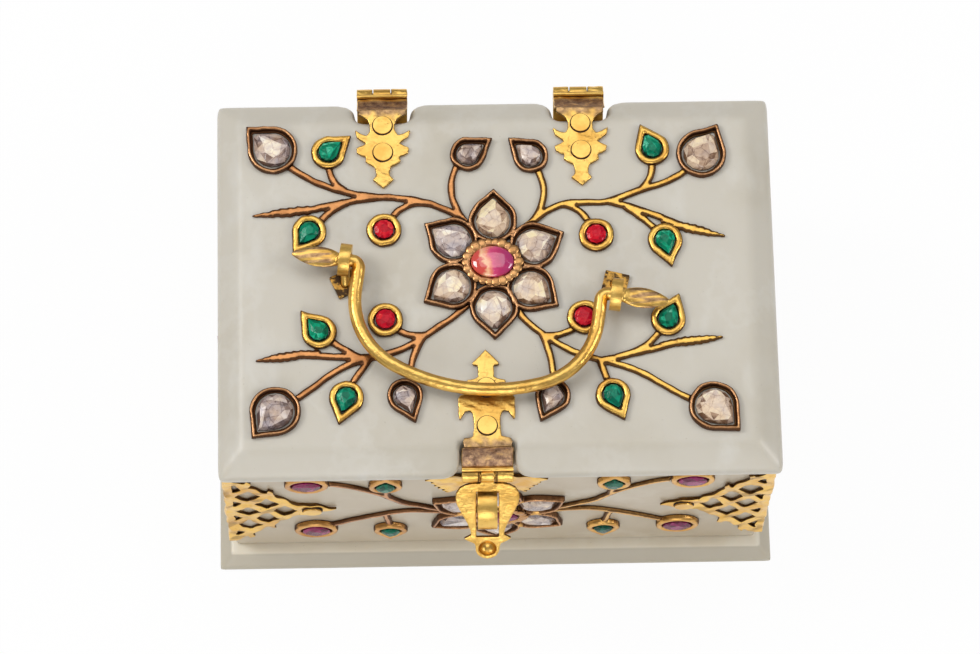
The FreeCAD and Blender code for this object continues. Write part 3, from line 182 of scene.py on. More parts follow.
def makeJade(name, look):
    jade = Finish(name)
    cloud = jade.noise(jadeGrain["cloud"], 5.0, 0.58)
    slant = jade.stretched((1.0, 0.55, 1.3), (0.2, 0.1, 0.5))
    drift = jade.noise(jadeGrain["drift"], 4.0, 0.55, slant)
    vein = 1.0 - abs(jade.noise(jadeGrain["vein"], 6.0, 0.62) - 0.5) * 9.0
    speck = jade.noise(jadeGrain["speck"], 2.0, 0.6)
    scuff = jade.noise(jadeGrain["scuff"], 3.0, 0.6, jade.stretched((1.0, 9.0, 4.0), (0.0, 0.0, 0.7)))
    colour = jade.mix(look["body"], look["cloud"], cloud.step(0.46, 0.74) * 0.75)
    colour = jade.mix(colour, look["milk"], drift.step(0.52, 0.74) * 0.55)
    colour = jade.mix(colour, look["milk"], vein.step(0.72, 1.0) * 0.2)
    colour = jade.mix(colour, look["speck"], speck.step(0.7, 0.8) * 0.28)
    # painted shade: faces that turn away from straight up, such as the base's chamfer, are darkened
    if "bevel" in look:
        colour = jade.mix(colour, look["bevel"], jade.attribute("bevel") * 0.85)
    low, high = look["roughness"]
    shine = jade.noise(jadeGrain["shine"], 3.0) * 0.7 + scuff * 0.3
    jade.set(Base_Color=colour, Roughness=low + shine * (high - low))
    jade.set(Subsurface_Weight=0.15, Subsurface_Scale=0.004, Subsurface_Radius=(1.0, 0.85, 0.6))
    relief = jade.noise(jadeGrain["ripple"], 3.0) + speck * 0.15 + scuff * 0.1
    jade.set(IOR=1.5, Normal=jade.bump(relief, look["ripple"]))
    return jade.material


# Gold: bright on worn parts that face out, brown where it is sunk, with painted shade on the sides and in
# the gaps that turn away from the light. A mesh attribute says which
goldLooks = {
    "strapGold": {
        "bright": paint(242, 198, 108), "warm": paint(214, 160, 74), "sunk": paint(84, 54, 34),
        "roughness": (0.24, 0.46), "hammer": 0.00016,
    },
    "settingGold": {
        "bright": paint(240, 192, 98), "warm": paint(210, 152, 70), "sunk": paint(84, 54, 36),
        "roughness": (0.26, 0.5), "hammer": 0.00012,
    },
    "pinGold": {
        "bright": paint(242, 200, 110), "warm": paint(214, 160, 74), "sunk": paint(110, 72, 40),
        "roughness": (0.24, 0.44), "hammer": 0.0001,
    },
    "agedGold": {
        "bright": paint(206, 158, 78), "warm": paint(150, 110, 56), "sunk": paint(52, 42, 40),
        "roughness": (0.34, 0.6), "hammer": 0.0002, "tarnish": 0.92,
    },
}
# The sprays on the left are redder than those on the right, and the flower is browner
copperLook = {
    "sprayBright": paint(208, 146, 92), "sprayWarm": paint(152, 98, 58),
    "flowerBright": paint(206, 154, 108), "flowerWarm": paint(156, 106, 68),
    "border": (-0.006, 0.012), "ragged": 0.012,
}
# The straps' tongues are mottled brown and purple
stainColours = [
    (0.32, paint(92, 68, 62)), (0.46, paint(142, 112, 96)),
    (0.58, paint(186, 150, 116)), (0.7, paint(224, 184, 128)),
]
# How fine each of the gold's patterns is, in waves per metre
goldGrain = {
    "rub": 420.0, "blotch": 130.0, "pit": 1500.0, "dimple": 560.0, "scratch": 900.0, "tarnish": 480.0,
    "stain": 620.0,
}


def makeGold(name, look, worn=True, copperSide=False, stained=False):
    gold = Finish(name)
    rub = gold.noise(goldGrain["rub"], 4.0, 0.6)
    blotch = gold.noise(goldGrain["blotch"], 4.0, 0.6)
    pit = gold.noise(goldGrain["pit"], 2.0, 0.6)
    dimple = gold.noise(goldGrain["dimple"], 2.0, 0.45)
    slant = gold.stretched((1.0, 7.0, 3.0), (0.3, 0.2, 0.6))
    scratch = gold.noise(goldGrain["scratch"], 2.0, 0.5, slant)
    bright, warm, sunk = look["bright"], look["warm"], look["sunk"]
    if copperSide:
        side = (gold.axis("X") + (blotch - 0.5) * copperLook["ragged"]).step(*copperLook["border"])
        bright = gold.mix(copperLook["sprayBright"], bright, side)
        warm = gold.mix(copperLook["sprayWarm"], warm, side)
        collar = gold.attribute("collar")
        bright = gold.mix(bright, look["bright"], collar)
        warm = gold.mix(warm, look["warm"], collar)
        flower = gold.attribute("flower")
        bright = gold.mix(bright, copperLook["flowerBright"], flower)
        warm = gold.mix(warm, copperLook["flowerWarm"], flower)
    colour = gold.mix(bright, warm, blotch.step(0.44, 0.66) * 0.7)
    colour = gold.mix(colour, warm, rub.step(0.52, 0.75) * 0.55)
    colour = gold.mix(colour, sunk, pit.step(0.66, 0.78) * 0.45)
    shine = rub
    if "tarnish" in look:  # nearly black, with gold left in patches
        tarnish = (gold.noise(goldGrain["tarnish"], 4.0, 0.65) + (rub - 0.5) * 0.4).step(0.4, 0.52)
        colour = gold.mix(colour, sunk, tarnish * look["tarnish"])
        shine = rub * 0.5 + tarnish * 0.5
    # painted shade, with some wear: where the stored attribute is low, on sides turned from the light, in
    # gaps and in hollows, the gold goes to the dark colour
    if worn:
        rise = gold.attribute("rise") + (rub - 0.5) * 0.3 + (pit - 0.5) * 0.15
        dark = 1.0 - rise.step(0.3, 0.8)
        colour = gold.mix(colour, sunk, dark * 0.94)
        shine = rub * 0.5 + dark * 0.8
    if stained:
        stain = gold.attribute("patina")
        tint = gold.ramp(gold.noise(goldGrain["stain"], 4.0, 0.7), stainColours)
        colour = gold.mix(colour, tint, stain * 0.95)
        shine = shine + stain * 0.6
    low, high = look["roughness"]
    gold.set(Base_Color=colour, Metallic=1.0, Roughness=low + shine * (high - low))
    relief = dimple + rub * 0.3 + scratch * 0.2 - pit.step(0.64, 0.8) * 0.25
    gold.set(Normal=gold.bump(relief, look["hammer"]))
    return gold.material


grimeAndShadeColours = {"dark": paint(46, 28, 18), "light": paint(92, 58, 32), "grain": 900.0, "ripple": 0.00004}


def makeGrimeAndShade(look):
    # the brown line round rivets: dirt, and painted shade where the head meets the plate
    grimeAndShade = Finish("grimeAndShade")
    clot = grimeAndShade.noise(look["grain"], 3.0, 0.6)
    grimeAndShade.set(Base_Color=grimeAndShade.mix(look["dark"], look["light"], clot.step(0.4, 0.7)))
    grimeAndShade.set(Roughness=0.55 + clot * 0.3, Metallic=0.4, Normal=grimeAndShade.bump(clot, look["ripple"]))
    return grimeAndShade.material


# Stones: every facet has a shade of its own, in the mesh attribute facet, which is painted reflection:
# random from facet to facet, a painted glint on facets turned towards the glint, painted shade on the
# tilted rim facets. Attribute warm picks the tint
gemLooks = {
    "diamond": {
        "stops": (0.0, 0.22, 0.5, 0.78, 0.97),
        "cool": [(92, 80, 82), (146, 134, 138), (186, 173, 173), (212, 200, 198), (242, 238, 234)],
        "warm": [(118, 86, 62), (180, 148, 122), (214, 186, 158), (234, 210, 178), (250, 231, 186)],
        "roughness": 0.1, "ior": 1.55, "crackle": 480.0, "line": 0.2, "cloud": 0.8, "drift": 2.2,
    },
    "ruby": {
        "stops": (0.0, 0.3, 0.6, 0.85, 0.97),
        "cool": [(70, 4, 40), (112, 12, 66), (142, 26, 92), (176, 66, 128), (216, 150, 184)],
        "warm": [(104, 0, 16), (162, 4, 26), (198, 12, 36), (226, 46, 50), (244, 130, 100)],
        "roughness": 0.07, "ior": 1.27, "crackle": 900.0, "line": 0.09, "cloud": 0.5, "drift": 0.2,
    },
    "emerald": {
        "stops": (0.0, 0.3, 0.6, 0.85, 0.97),
        "cool": [(0, 34, 32), (0, 60, 52), (2, 88, 74), (16, 118, 98), (90, 180, 150)],
        "warm": [(0, 54, 38), (0, 98, 70), (0, 138, 98), (30, 180, 136), (140, 228, 194)],
        "roughness": 0.07, "ior": 1.29, "crackle": 900.0, "line": 0.09, "cloud": 0.5, "drift": 0.4,
    },
}
# How fine the patterns in a stone are, in waves per metre, and how deep its surface is rippled
gemGrain = {"cloud": 700.0, "flaw": 1900.0, "hue": 360.0, "ripple": 0.00003}


def makeGem(name, look):
    gem = Finish(name)
    cloud = gem.noise(gemGrain["cloud"], 3.0, 0.6)
    flaw = gem.noise(gemGrain["flaw"], 2.0, 0.6)
    cells = {"Vector": gem.place, "Scale": look["crackle"]}
    crack = gem.node("ShaderNodeTexVoronoi", {"feature": "DISTANCE_TO_EDGE"}, cells)
    line = 1.0 - crack.step(0.0, 0.07)
    # the facet attribute carries the painted reflections, glints and rim shade
    tone = gem.attribute("facet") + (cloud - 0.5) * look["cloud"]
    tone = tone - flaw.step(0.62, 0.72) * 0.25 - line * look["line"]
    hue = gem.attribute("warm") + (gem.noise(gemGrain["hue"], 3.0, 0.6) - 0.5) * look["drift"]
    cool, warm = (
        gem.ramp(tone, [(stop, paint(*shade)) for stop, shade in zip(look["stops"], look[tint])])
        for tint in ("cool", "warm")
    )
    colour = gem.mix(cool, warm, hue)
    gem.set(Base_Color=colour, Roughness=look["roughness"] + flaw * 0.08)
    gem.set(IOR=look["ior"], Coat_Weight=0.04, Coat_Roughness=0.05)
    gem.set(Normal=gem.bump(cloud - line * 0.5, gemGrain["ripple"]))
    return gem.material


# The flower's ruby: pink, with painted light across it: an orange glow on its left, darker magenta on its
# right
flowerRubyLook = {
    "colours": [
        (0.0, paint(214, 70, 60)), (0.16, paint(250, 196, 150)), (0.32, paint(236, 128, 104)),
        (0.5, paint(214, 62, 116)), (0.72, paint(190, 30, 96)), (1.0, paint(170, 30, 100)),
    ],
    "flawColour": paint(236, 170, 200), "swirl": 260.0, "flaw": 900.0, "across": 190.0, "ripple": 0.00003,
}


def makeFlowerRuby(look):
    ruby = Finish("flowerRuby")
    swirl = ruby.noise(look["swirl"], 4.0, 0.6, ruby.stretched((0.7, 1.3, 1.0), (0.0, 0.0, 0.5)))
    flaw = ruby.noise(look["flaw"], 3.0, 0.6)
    # painted light: the colour runs from a lit orange on the left to a darker magenta on the right
    side = ruby.axis("X") * look["across"] + 0.62 + (swirl - 0.5) * 1.5
    colour = ruby.ramp(side, look["colours"])
    colour = ruby.mix(colour, look["flawColour"], flaw.step(0.6, 0.75) * 0.5)
    ruby.set(Base_Color=colour, Roughness=0.06 + flaw * 0.08, Normal=ruby.bump(swirl, look["ripple"]))
    ruby.set(IOR=1.77, Coat_Weight=0.6, Coat_Roughness=0.03)
    return ruby.material


finishes = {name: makeJade(name, look) for name, look in jadeLooks.items()}
finishes["strapGold"] = makeGold("strapGold", goldLooks["strapGold"], stained=True)
finishes["settingGold"] = makeGold("settingGold", goldLooks["settingGold"], copperSide=True)
finishes["pinGold"] = makeGold("pinGold", goldLooks["pinGold"], worn=False)
finishes["agedGold"] = makeGold("agedGold", goldLooks["agedGold"], worn=False)
finishes["grimeAndShade"] = makeGrimeAndShade(grimeAndShadeColours)
for gemName, gemLook in gemLooks.items():
    finishes[gemName] = makeGem(gemName, gemLook)
finishes["flowerRuby"] = makeFlowerRuby(flowerRubyLook)
print("finishes made:", ", ".join(finishes))


def dress(mesh, finish):
    mesh.materials.clear()
    mesh.materials.append(finishes[finish])


# The nodes that a piece of the scene stands for
stoodFor = set()


def addPiece(name, mesh, finish, slot, body, *stands):
    piece = bpy.data.objects.new(name, mesh)
    scene.collection.objects.link(piece)
    dress(mesh, finish)
    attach(piece, body)
    if stands:
        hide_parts(*stands)
        stoodFor.update(stands)


joinGap = 0.000002


def closedCopy(nodeName):
    # a node's shape with its loose triangles joined up
    shape = bmesh.new()
    shape.from_mesh(nodes[nodeName].data)
    bmesh.ops.remove_doubles(shape, verts=shape.verts, dist=joinGap)
    mesh = bpy.data.meshes.new(nodeName + "Copy")
    shape.to_mesh(mesh)
    shape.free()
    return mesh


def applied(mesh, setUp):
    # the mesh after the modifiers that setUp adds
    holder = bpy.data.objects.new("holder", mesh)
    scene.collection.objects.link(holder)
    setUp(holder)
    grown = holder.evaluated_get(bpy.context.evaluated_depsgraph_get())
    result = bpy.data.meshes.new_from_object(grown)
    bpy.data.objects.remove(holder)
    bpy.data.meshes.remove(mesh)
    return result


def points(mesh, what="co"):
    flat = np.zeros(len(mesh.vertices) * 3)
    mesh.vertices.foreach_get(what, flat)
    return flat.reshape(-1, 3)


def store(mesh, name, values):
    attribute = mesh.attributes.new(name, "FLOAT", "POINT")
    attribute.data.foreach_set("value", np.full(len(mesh.vertices), values, dtype=np.float32))


# The faces that ornament stands on: which way is out, and where the face is
faces = {
    "lid": {"node": "lid_slab", "out": Vector((0, 0, 1)), "across": Vector((1, 0, 0))},
    "front": {"node": "front_panel", "out": Vector((0, -1, 0)), "across": Vector((1, 0, 0))},
    "rear": {"node": "rear_panel", "out": Vector((0, 1, 0)), "across": Vector((-1, 0, 0))},
    "left": {"node": "left_panel", "out": Vector((-1, 0, 0)), "across": Vector((0, -1, 0))},
    "right": {"node": "right_panel", "out": Vector((1, 0, 0)), "across": Vector((0, 1, 0))},
}
for face in faces.values():
    face["up"] = face["out"].cross(face["across"])
    face["turn"] = Matrix((face["across"], face["up"], face["out"]))
    face["level"] = max(corner.dot(face["out"]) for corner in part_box(face["node"]))
lidTop = faces["lid"]["level"]
wallNames = ("front", "rear", "left", "right")
quarters = ("rear_left", "rear_right", "front_left", "front_right")


# Cast ornament: the solids with rounded stems, ridged petal walls and domed collars
castLook = {
    "grain": 0.00016, "smoothing": 3, "cell": 0.00008, "stem": 0.00065, "wall": 0.00105, "heart": 0.0016,
    "sink": 0.5, "pit": 0.12, "pitLength": 0.0016, "wobble": 0.00007, "wobbleLength": 0.0032,
    "foot": 0.0001, "deepest": 0.0011, "flatHalf": 0.001, "halves": (0.0003, 0.0009), "halfCells": 9,
    "broad": (0.00046, 0.0006), "lip": (0.00006, 0.00028), "lit": (0.00012, 0.0004), "flower": 0.0,
}
flowerLook = {**castLook, "grain": 0.00013, "flower": 1.0}
wallLook = {**castLook, "grain": 0.00021, "flower": 0.4}


def melted(nodeName, look):
    def melt(holder):
        remesh = holder.modifiers.new("even", "REMESH")
        remesh.mode = "VOXEL"
        remesh.voxel_size = look["grain"]
        smooth = holder.modifiers.new("melt", "SMOOTH")
        smooth.factor = 0.5
        smooth.iterations = look["smoothing"]

    return applied(closedCopy(nodeName), melt)


def ease(values, low, high):
    share = np.clip((values - low) / (high - low), 0, 1)
    return share * share * (3 - 2 * share)


rippleLook = {"waves": 9, "lengths": (0.6, 1.5), "phase": 6.28, "level": 3.6}


def ripple(spots, length, seed):
    # smooth unevenness, about -1 to 1, over a length
    dice = np.random.default_rng(seed)
    count = rippleLook["waves"]
    ways = dice.normal(size=(count, 3))
    speeds = 2 * math.pi / length * dice.uniform(*rippleLook["lengths"], count)
    ways *= (speeds / np.linalg.norm(ways, axis=1))[:, None]
    phases = dice.uniform(0, rippleLook["phase"], count)
    return np.sin(spots @ ways.T + phases).sum(axis=1) / rippleLook["level"]


def spread(grid, steps):
    # the highest value within a number of cells
    for _ in range(steps):
        grown = np.pad(grid, 1, mode="edge")
        near = [grown[:-2, 1:-1], grown[2:, 1:-1], grown[1:-1, :-2], grown[1:-1, 2:]]
        grid = np.maximum.reduce([grid] + near)
    return grid


def depthInside(inside, cell, limit):
    # how far each cell lies from the edge of a flat shape
    depth = np.zeros(inside.shape)
    for step in range(int(limit / cell)):
        depth += inside
        edge = np.pad(inside, 1)
        near = [edge[:-2, 1:-1], edge[2:, 1:-1], edge[1:-1, :-2], edge[1:-1, 2:]]
        if step % 2:
            near += [edge[:-2, :-2], edge[2:, :-2], edge[:-2, 2:], edge[2:, 2:]]
        inside = inside & np.logical_and.reduce(near)
    return depth * cell


mapLook = {"margin": 4, "facing": 0.3, "slack": 0.01, "sliver": 1e-9}


def heightMap(nodeName, face, cell):
    # the top of a node over its face, cell by cell
    mesh = closedCopy(nodeName)
    mesh.calc_loop_triangles()
    spots = points(mesh) @ np.array(face["turn"]).T
    origin = spots[:, :2].min(axis=0) - mapLook["margin"] * cell
    size = np.ceil((spots[:, :2].max(axis=0) - origin) / cell).astype(int) + mapLook["margin"] + 1
    heights = np.zeros(size)
    slack = mapLook["slack"]
    for triangle in mesh.loop_triangles:
        if triangle.normal.dot(face["out"]) < mapLook["facing"]:
            continue
        corners = spots[list(triangle.vertices)]
        flat = (corners[:, :2] - origin) / cell
        low = np.floor(flat.min(axis=0)).astype(int)
        high = np.ceil(flat.max(axis=0)).astype(int) + 1
        across, up = np.meshgrid(np.arange(low[0], high[0]), np.arange(low[1], high[1]), indexing="ij")
        one, two = flat[1] - flat[0], flat[2] - flat[0]
        area = one[0] * two[1] - one[1] * two[0]
        if abs(area) < mapLook["sliver"]:
            continue
        a, b = across - flat[0, 0], up - flat[0, 1]
        first = (a * two[1] - b * two[0]) / area
        second = (one[0] * b - one[1] * a) / area
        inside = (first > -slack) & (second > -slack) & (first + second < 1 + slack)
        climb = corners[:, 2] - corners[0, 2]
        top = corners[0, 2] + first * climb[1] + second * climb[2]
        part = heights[low[0]:high[0], low[1]:high[1]]
        np.maximum(part, np.where(inside, top - face["level"], 0), out=part)
    bpy.data.meshes.remove(mesh)
    return heights, origin


def castOrnament(name, nodeName, faceName, body, look, seed):
    face = faces[faceName]
    cell = look["cell"]
    stem, wall, heart = look["stem"], look["wall"], look["heart"]
    heights, origin = heightMap(nodeName, face, cell)
    mesh = melted(nodeName, look)
    spots = points(mesh)
    turn = np.array(face["turn"])
    flat = spots @ turn.T
    height = flat[:, 2] - face["level"]
    column = np.rint((flat[:, :2] - origin) / cell).astype(int)
    column = np.clip(column, 0, np.array(heights.shape) - 1)
    place = (column[:, 0], column[:, 1])
    top = spread(heights, 2)[place]

    # how far each point lies inside its own stem, wall or heart, and half the width of that
    depth = np.zeros(len(spots))
    half = np.full(len(spots), look["flatHalf"])
    for level, above in ((stem, wall), (wall, heart), (heart, math.inf)):
        inside = depthInside(heights >= level, cell, look["deepest"])
        here = (top >= level) & (top < above)
        depth[here] = inside[place][here]
        half[here] = np.clip(spread(inside, look["halfCells"])[place][here], *look["halves"])
    ridge = np.clip(depth / half, 0, 1)
    stands = top >= stem

    # round the tops off, and make the lines a little unsteady
    sink = look["sink"] * np.where(stands, 1 - np.sqrt(1 - (1 - ridge) ** 2), 0)
    pits = look["pit"] * ripple(spots, look["pitLength"], seed)
    flat[:, 2] -= np.clip(height, 0, None) * sink * (1 - pits)
    for axis in (0, 1):
        sway = ripple(spots, look["wobbleLength"], seed + 1 + axis)
        flat[:, axis] += look["wobble"] * sway * (height > look["foot"])
    mesh.vertices.foreach_set("co", (flat @ turn).ravel())
    mesh.update()

    # where the gold is bright: worn high parts that face out. Sides turned away get painted shade, and the
    # low parts stay brown
    normals = points(mesh, "normal")
    high = ease(height, 0.55 * top, 0.85 * top) * ease(normals @ turn[2], 0.1, 0.6) * stands
    broad = ease(half, *look["broad"]) * (top >= wall)
    thin = (1 - broad) * (top >= wall)
    rise = high * np.where(broad > 0.5, ease(depth, *look["lip"]), ease(ridge, 0.3, 0.85))
    # painted light: on the walls, parts that face up are painted lighter
    if faceName != "lid":
        lit = ease(normals[:, 2], 0.1, 0.7) * ease(height, *look["lit"])
        rise = np.maximum(rise, lit * (0.45 + 0.45 * broad))
    store(mesh, "rise", rise)
    store(mesh, "collar", broad * (1.0 - look["flower"]))
    store(mesh, "flower", np.maximum(look["flower"], thin))
    mesh.shade_smooth()
    addPiece(name, mesh, "settingGold", "setting_gold", body, nodeName)


castOrnament("lid-flower-cast", "lid_flower_setting", "lid", "lid", flowerLook, 11)
for order, quarter in enumerate(quarters):
    pieceName = f"lid-spray-{quarter.replace('_', '-')}"
    castOrnament(pieceName, f"lid_spray_{quarter}", "lid", "lid", castLook, 21 + 5 * order)
for order, side in enumerate(wallNames):
    castOrnament(f"{side}-setting-cast", f"{side}_setting", side, "box", wallLook, 51 + 5 * order)
print("ornament cast")


# Stones: irregular flat-topped cuts, each inside its own seat. All lengths in cutLooks are shares
cutShape = {
    "digits": 7, "level": 0.00001, "girdle": 0.97, "slide": 0.5, "glint": (-0.45, 0.5, 0.74), "lit": 0.36,
}
cutLooks = {
    "diamond": {
        "round": 15, "middle": 0.78, "table": 0.5, "shoulder": 0.72, "merge": 5.0, "jitter": 0.14,
        "tall": 1.0, "spark": 0.78, "base": 0.02, "rim": 0.5,
    },
    "ruby": {
        "round": 11, "middle": 0.74, "table": 0.46, "shoulder": 0.62, "merge": 3.0, "jitter": 0.1,
        "tall": 0.66, "spark": 0.56, "base": 0.08, "rim": 0.1,
    },
    "emerald": {
        "round": 12, "middle": 0.74, "table": 0.44, "shoulder": 0.62, "merge": 3.0, "jitter": 0.13,
        "tall": 1.0, "spark": 0.5, "base": 0.12, "rim": 0.15,
    },
}


def islands(mesh):
    # the vertices of each separate solid
    links = [[] for _ in mesh.vertices]
    for edge in mesh.edges:
        a, b = edge.vertices
        links[a].append(b)
        links[b].append(a)
    seen = set()
    for start in range(len(links)):
        if start in seen:
            continue
        seen.add(start)
        group = [start]
        for spot in group:
            for other in links[spot]:
                if other not in seen:
                    seen.add(other)
                    group.append(other)
        yield group


def hull(flat):
    # the outline round flat points, in order
    flat = sorted(set(flat))
    halves = []
    for run in (flat, flat[::-1]):
        line = []
        for p in run:
            while len(line) > 1 and cross(line[-2], line[-1], p) <= 0:
                line.pop()
            line.append(p)
        halves += line[:-1]
    return halves


def cross(a, b, c):
    return (b[0] - a[0]) * (c[1] - a[1]) - (b[1] - a[1]) * (c[0] - a[0])


def walk(outline, share):
    # the point at a share of the way round an outline
    ends = list(zip(outline, outline[1:] + outline[:1]))
    lengths = [math.dist(a, b) for a, b in ends]
    way = share % 1.0 * sum(lengths)
    for (a, b), length in zip(ends, lengths):
        if way <= length:
            return Vector(a).lerp(Vector(b), way / length)
        way -= length
    return Vector(outline[0])


def flatSpot(spot):
    return round(spot.x, cutShape["digits"]), round(spot.y, cutShape["digits"])


def cutStone(spots, look, dice):
    # corners of one cut stone in its face's own axes: across, up, out
    outline = hull([flatSpot(p) for p in spots])
    bottom = min(p.z for p in spots)
    rim = {flatSpot(p) for p in spots if abs(p.z - bottom) < cutShape["level"]}
    girdle = max(p.z for p in spots if flatSpot(p) in rim)
    top = girdle + (max(p.z for p in spots) - girdle) * look["tall"]
    middle = sum((Vector(p) for p in outline), Vector((0, 0))) / len(outline)
    shift = dice.random()
    corners = []
    rings = [
        (cutShape["girdle"], bottom), (cutShape["girdle"], girdle),
        (look["middle"], girdle + (top - girdle) * look["shoulder"]), (look["table"], top),
    ]
    for order, (reach, height) in enumerate(rings):
        count = look["round"] if order < 3 else look["round"] // 2
        uneven = order > 1
        for step in range(count):
            wobble = (dice.random() - 0.5) * (cutShape["slide"] if uneven else 0.0)
            at = walk(outline, shift + (step + wobble + (0.5 if order == 2 else 0.0)) / count)
            pull = reach * (1.0 + (dice.random() - 0.5) * 2 * look["jitter"] * uneven)
            flat = middle + (at - middle) * pull
            sink = (top - girdle) * dice.random() * look["jitter"] * uneven
            corners.append(Vector((flat.x, flat.y, height - sink)))
    return corners


def stones(name, nodeName, faceName, kind, body, seed, warmth, dim=0.0):
    look = cutLooks[kind]
    face = faces[faceName]
    turn = face["turn"]
    dice = random.Random(seed)
    source = closedCopy(nodeName)
    whole = bmesh.new()
    shade = whole.faces.layers.float.new("facet")
    tint = whole.faces.layers.float.new("warm")
    for group in islands(source):
        spots = [turn @ source.vertices[index].co for index in group]
        corners = [whole.verts.new(turn.transposed() @ p) for p in cutStone(spots, look, dice)]
        made = bmesh.ops.convex_hull(whole, input=corners)
        spare = made["geom_interior"] + made["geom_unused"]
        spare = {corner for corner in spare if isinstance(corner, bmesh.types.BMVert)}
        bmesh.ops.delete(whole, geom=list(spare), context="VERTS")
        warm = warmth(sum(spots, Vector()) / len(spots), dice)
        for facet in {facet for corner in corners if corner.is_valid for facet in corner.link_faces}:
            facet[tint] = warm
    merge = math.radians(look["merge"])
    bmesh.ops.dissolve_limit(whole, angle_limit=merge, verts=whole.verts, edges=whole.edges)
    bmesh.ops.recalc_face_normals(whole, faces=whole.faces)
    glint = Vector(cutShape["glint"]).normalized()
    # painted reflection in each facet: a random part, a painted glint towards the glint direction, and
    # painted shade on the tilted rim facets
    for facet in whole.faces:
        light = cutShape["lit"] * (0.5 + 0.5 * facet.normal.dot(glint)) ** 2
        facet[shade] = look["base"] - dim + look["spark"] * dice.random() + light
        facet[shade] -= look["rim"] * (1 - facet.normal.dot(face["out"]))
    mesh = bpy.data.meshes.new(name)
    whole.to_mesh(mesh)
    whole.free()
    bpy.data.meshes.remove(source)
    addPiece(name, mesh, kind, kind, body, nodeName)


flowerSpot = sum(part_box("lid_flower_ruby"), Vector()) / 2
# How honey coloured each petal is, from the rear one clockwise. The others are grey to pink
petalTints = (1.0, 0.65, 0.8, 0.55, 0.8, 0.15)


def petalWarmth(spot, dice):
    way = spot - flowerSpot
    order = round(math.atan2(way.x, way.y) / (2 * math.pi) * len(petalTints))
    return petalTints[order % len(petalTints)] + 0.1 * dice.random()


def cornerWarmth(spot, dice):
    # browner on the right
    return (0.8 if spot.x > flowerSpot.x else 0.3) + 0.2 * dice.random()


def evenWarmth(low, span):
    return lambda spot, dice: low + span * dice.random()


pale, half = evenWarmth(0.15, 0.4), evenWarmth(0.4, 0.6)
red, purple = evenWarmth(0.9, 0.1), evenWarmth(0.0, 0.08)
stones("petal-diamonds", "lid_petal_diamonds", "lid", "diamond", "lid", 3, petalWarmth)
stones("bud-diamonds", "lid_bud_diamonds", "lid", "diamond", "lid", 5, pale, dim=0.16)
stones("corner-diamonds", "lid_corner_diamonds", "lid", "diamond", "lid", 8, cornerWarmth, dim=0.2)
stones("lid-rubies", "lid_rubies", "lid", "ruby", "lid", 21, red)
stones("lid-emeralds", "lid_emeralds", "lid", "emerald", "lid", 34, half)
for order, side in enumerate(wallNames):
    stones(f"{side}-diamonds-cut", f"{side}_diamonds", side, "diamond", "box", 55 + order, pale)
    stones(f"{side}-rubies-cut", f"{side}_rubies", side, "ruby", "box", 65 + order, purple)
    stones(f"{side}-emeralds-cut", f"{side}_emeralds", side, "emerald", "box", 75 + order, pale)


# The flower's ruby is a smooth dome, not a cut stone
domeLook = {"rings": 12, "round": 48, "reach": 0.985, "dome": 0.001}


def domeStone(name, nodeName, look):
    low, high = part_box(nodeName)
    middle = (low + high) / 2
    wide, tall = (high.x - low.x) / 2 * look["reach"], (high.y - low.y) / 2 * look["reach"]
    girdle = high.z - look["dome"]
    shape = bmesh.new()
    rings = [(1.0, low.z)]
    for step in range(look["rings"]):
        turn = math.pi / 2 * step / look["rings"]
        rings.append((math.cos(turn), girdle + look["dome"] * math.sin(turn)))
    loops = []
    for reach, height in rings:
        loops.append([])
        for step in range(look["round"]):
            turn = 2 * math.pi * step / look["round"]
            across, up = wide * reach * math.cos(turn), tall * reach * math.sin(turn)
            loops[-1].append(shape.verts.new((middle.x + across, middle.y + up, height)))
    for lower, upper in zip(loops, loops[1:]):
        for a, b, c, d in zip(lower, lower[1:] + lower[:1], upper[1:] + upper[:1], upper):
            shape.faces.new((a, b, c, d))
    shape.faces.new(loops[0][::-1])
    shape.faces.new(loops[-1])
    bmesh.ops.recalc_face_normals(shape, faces=shape.faces)
    mesh = bpy.data.meshes.new(name)
    shape.to_mesh(mesh)
    shape.free()
    mesh.shade_smooth()
    addPiece(name, mesh, "flowerRuby", "ruby", "lid", nodeName)


domeStone("flower-ruby", "lid_flower_ruby", domeLook)
print("stones cut")


# Straps, hasp, mounts and handle: worked gold, with painted shade on the sides that turn away from the
# light
workedLook = {"dents": (0.0021, 0.0009), "drift": 0.0036}
strapLook = {
    "grain": 0.00013, "smoothing": 3, "dent": 0.00003, "wobble": 0.00005,
    "plate": 0.0006, "knuckle": 0.0031, "gap": 0.0018, "gapWidth": 0.00022,
    "creep": (0.0006, 0.0026), "ragged": 0.0007, "raggedLength": 0.0024,
}
haspLook = {
    "grain": 0.00012, "smoothing": 5, "dent": 0.000012, "wobble": 0.00002, "faces": (0.0, -0.766, 0.643),
}
handleLook = {
    "grain": 0.00016, "smoothing": 3, "dent": 0.00001, "wobble": 0.0,
    "leaf": (0.0003, 0.0016), "streak": 0.001, "along": (0.12, 1.0, 1.0),
}
mountLook = {
    "grain": 0.00021, "smoothing": 4, "dent": 0.00002, "wobble": 0.0002, "edge": 0.00005, "mottle": 0.0045,
}


def worked(name, nodeName, body, rub, look):
    # rub says where the piece is bright, where it has painted shade and where it is stained
    mesh = melted(nodeName, look)
    spots, normals = points(mesh), points(mesh, "normal")
    rise, patina = rub(spots, normals, look)
    store(mesh, "rise", np.clip(rise, 0, 1))
    store(mesh, "patina", np.clip(patina, 0, 1))
    large, small = workedLook["dents"]
    dents = look["dent"] * (ripple(spots, large, 5) + 0.5 * ripple(spots, small, 6))
    drift = np.stack([ripple(spots, workedLook["drift"], seed) for seed in (7, 8, 9)], axis=1)
    moved = spots + normals * dents[:, None] + drift * look["wobble"]
    mesh.vertices.foreach_set("co", moved.ravel())
    mesh.update()
    mesh.shade_smooth()
    addPiece(name, mesh, "strapGold", "gold", body, nodeName)


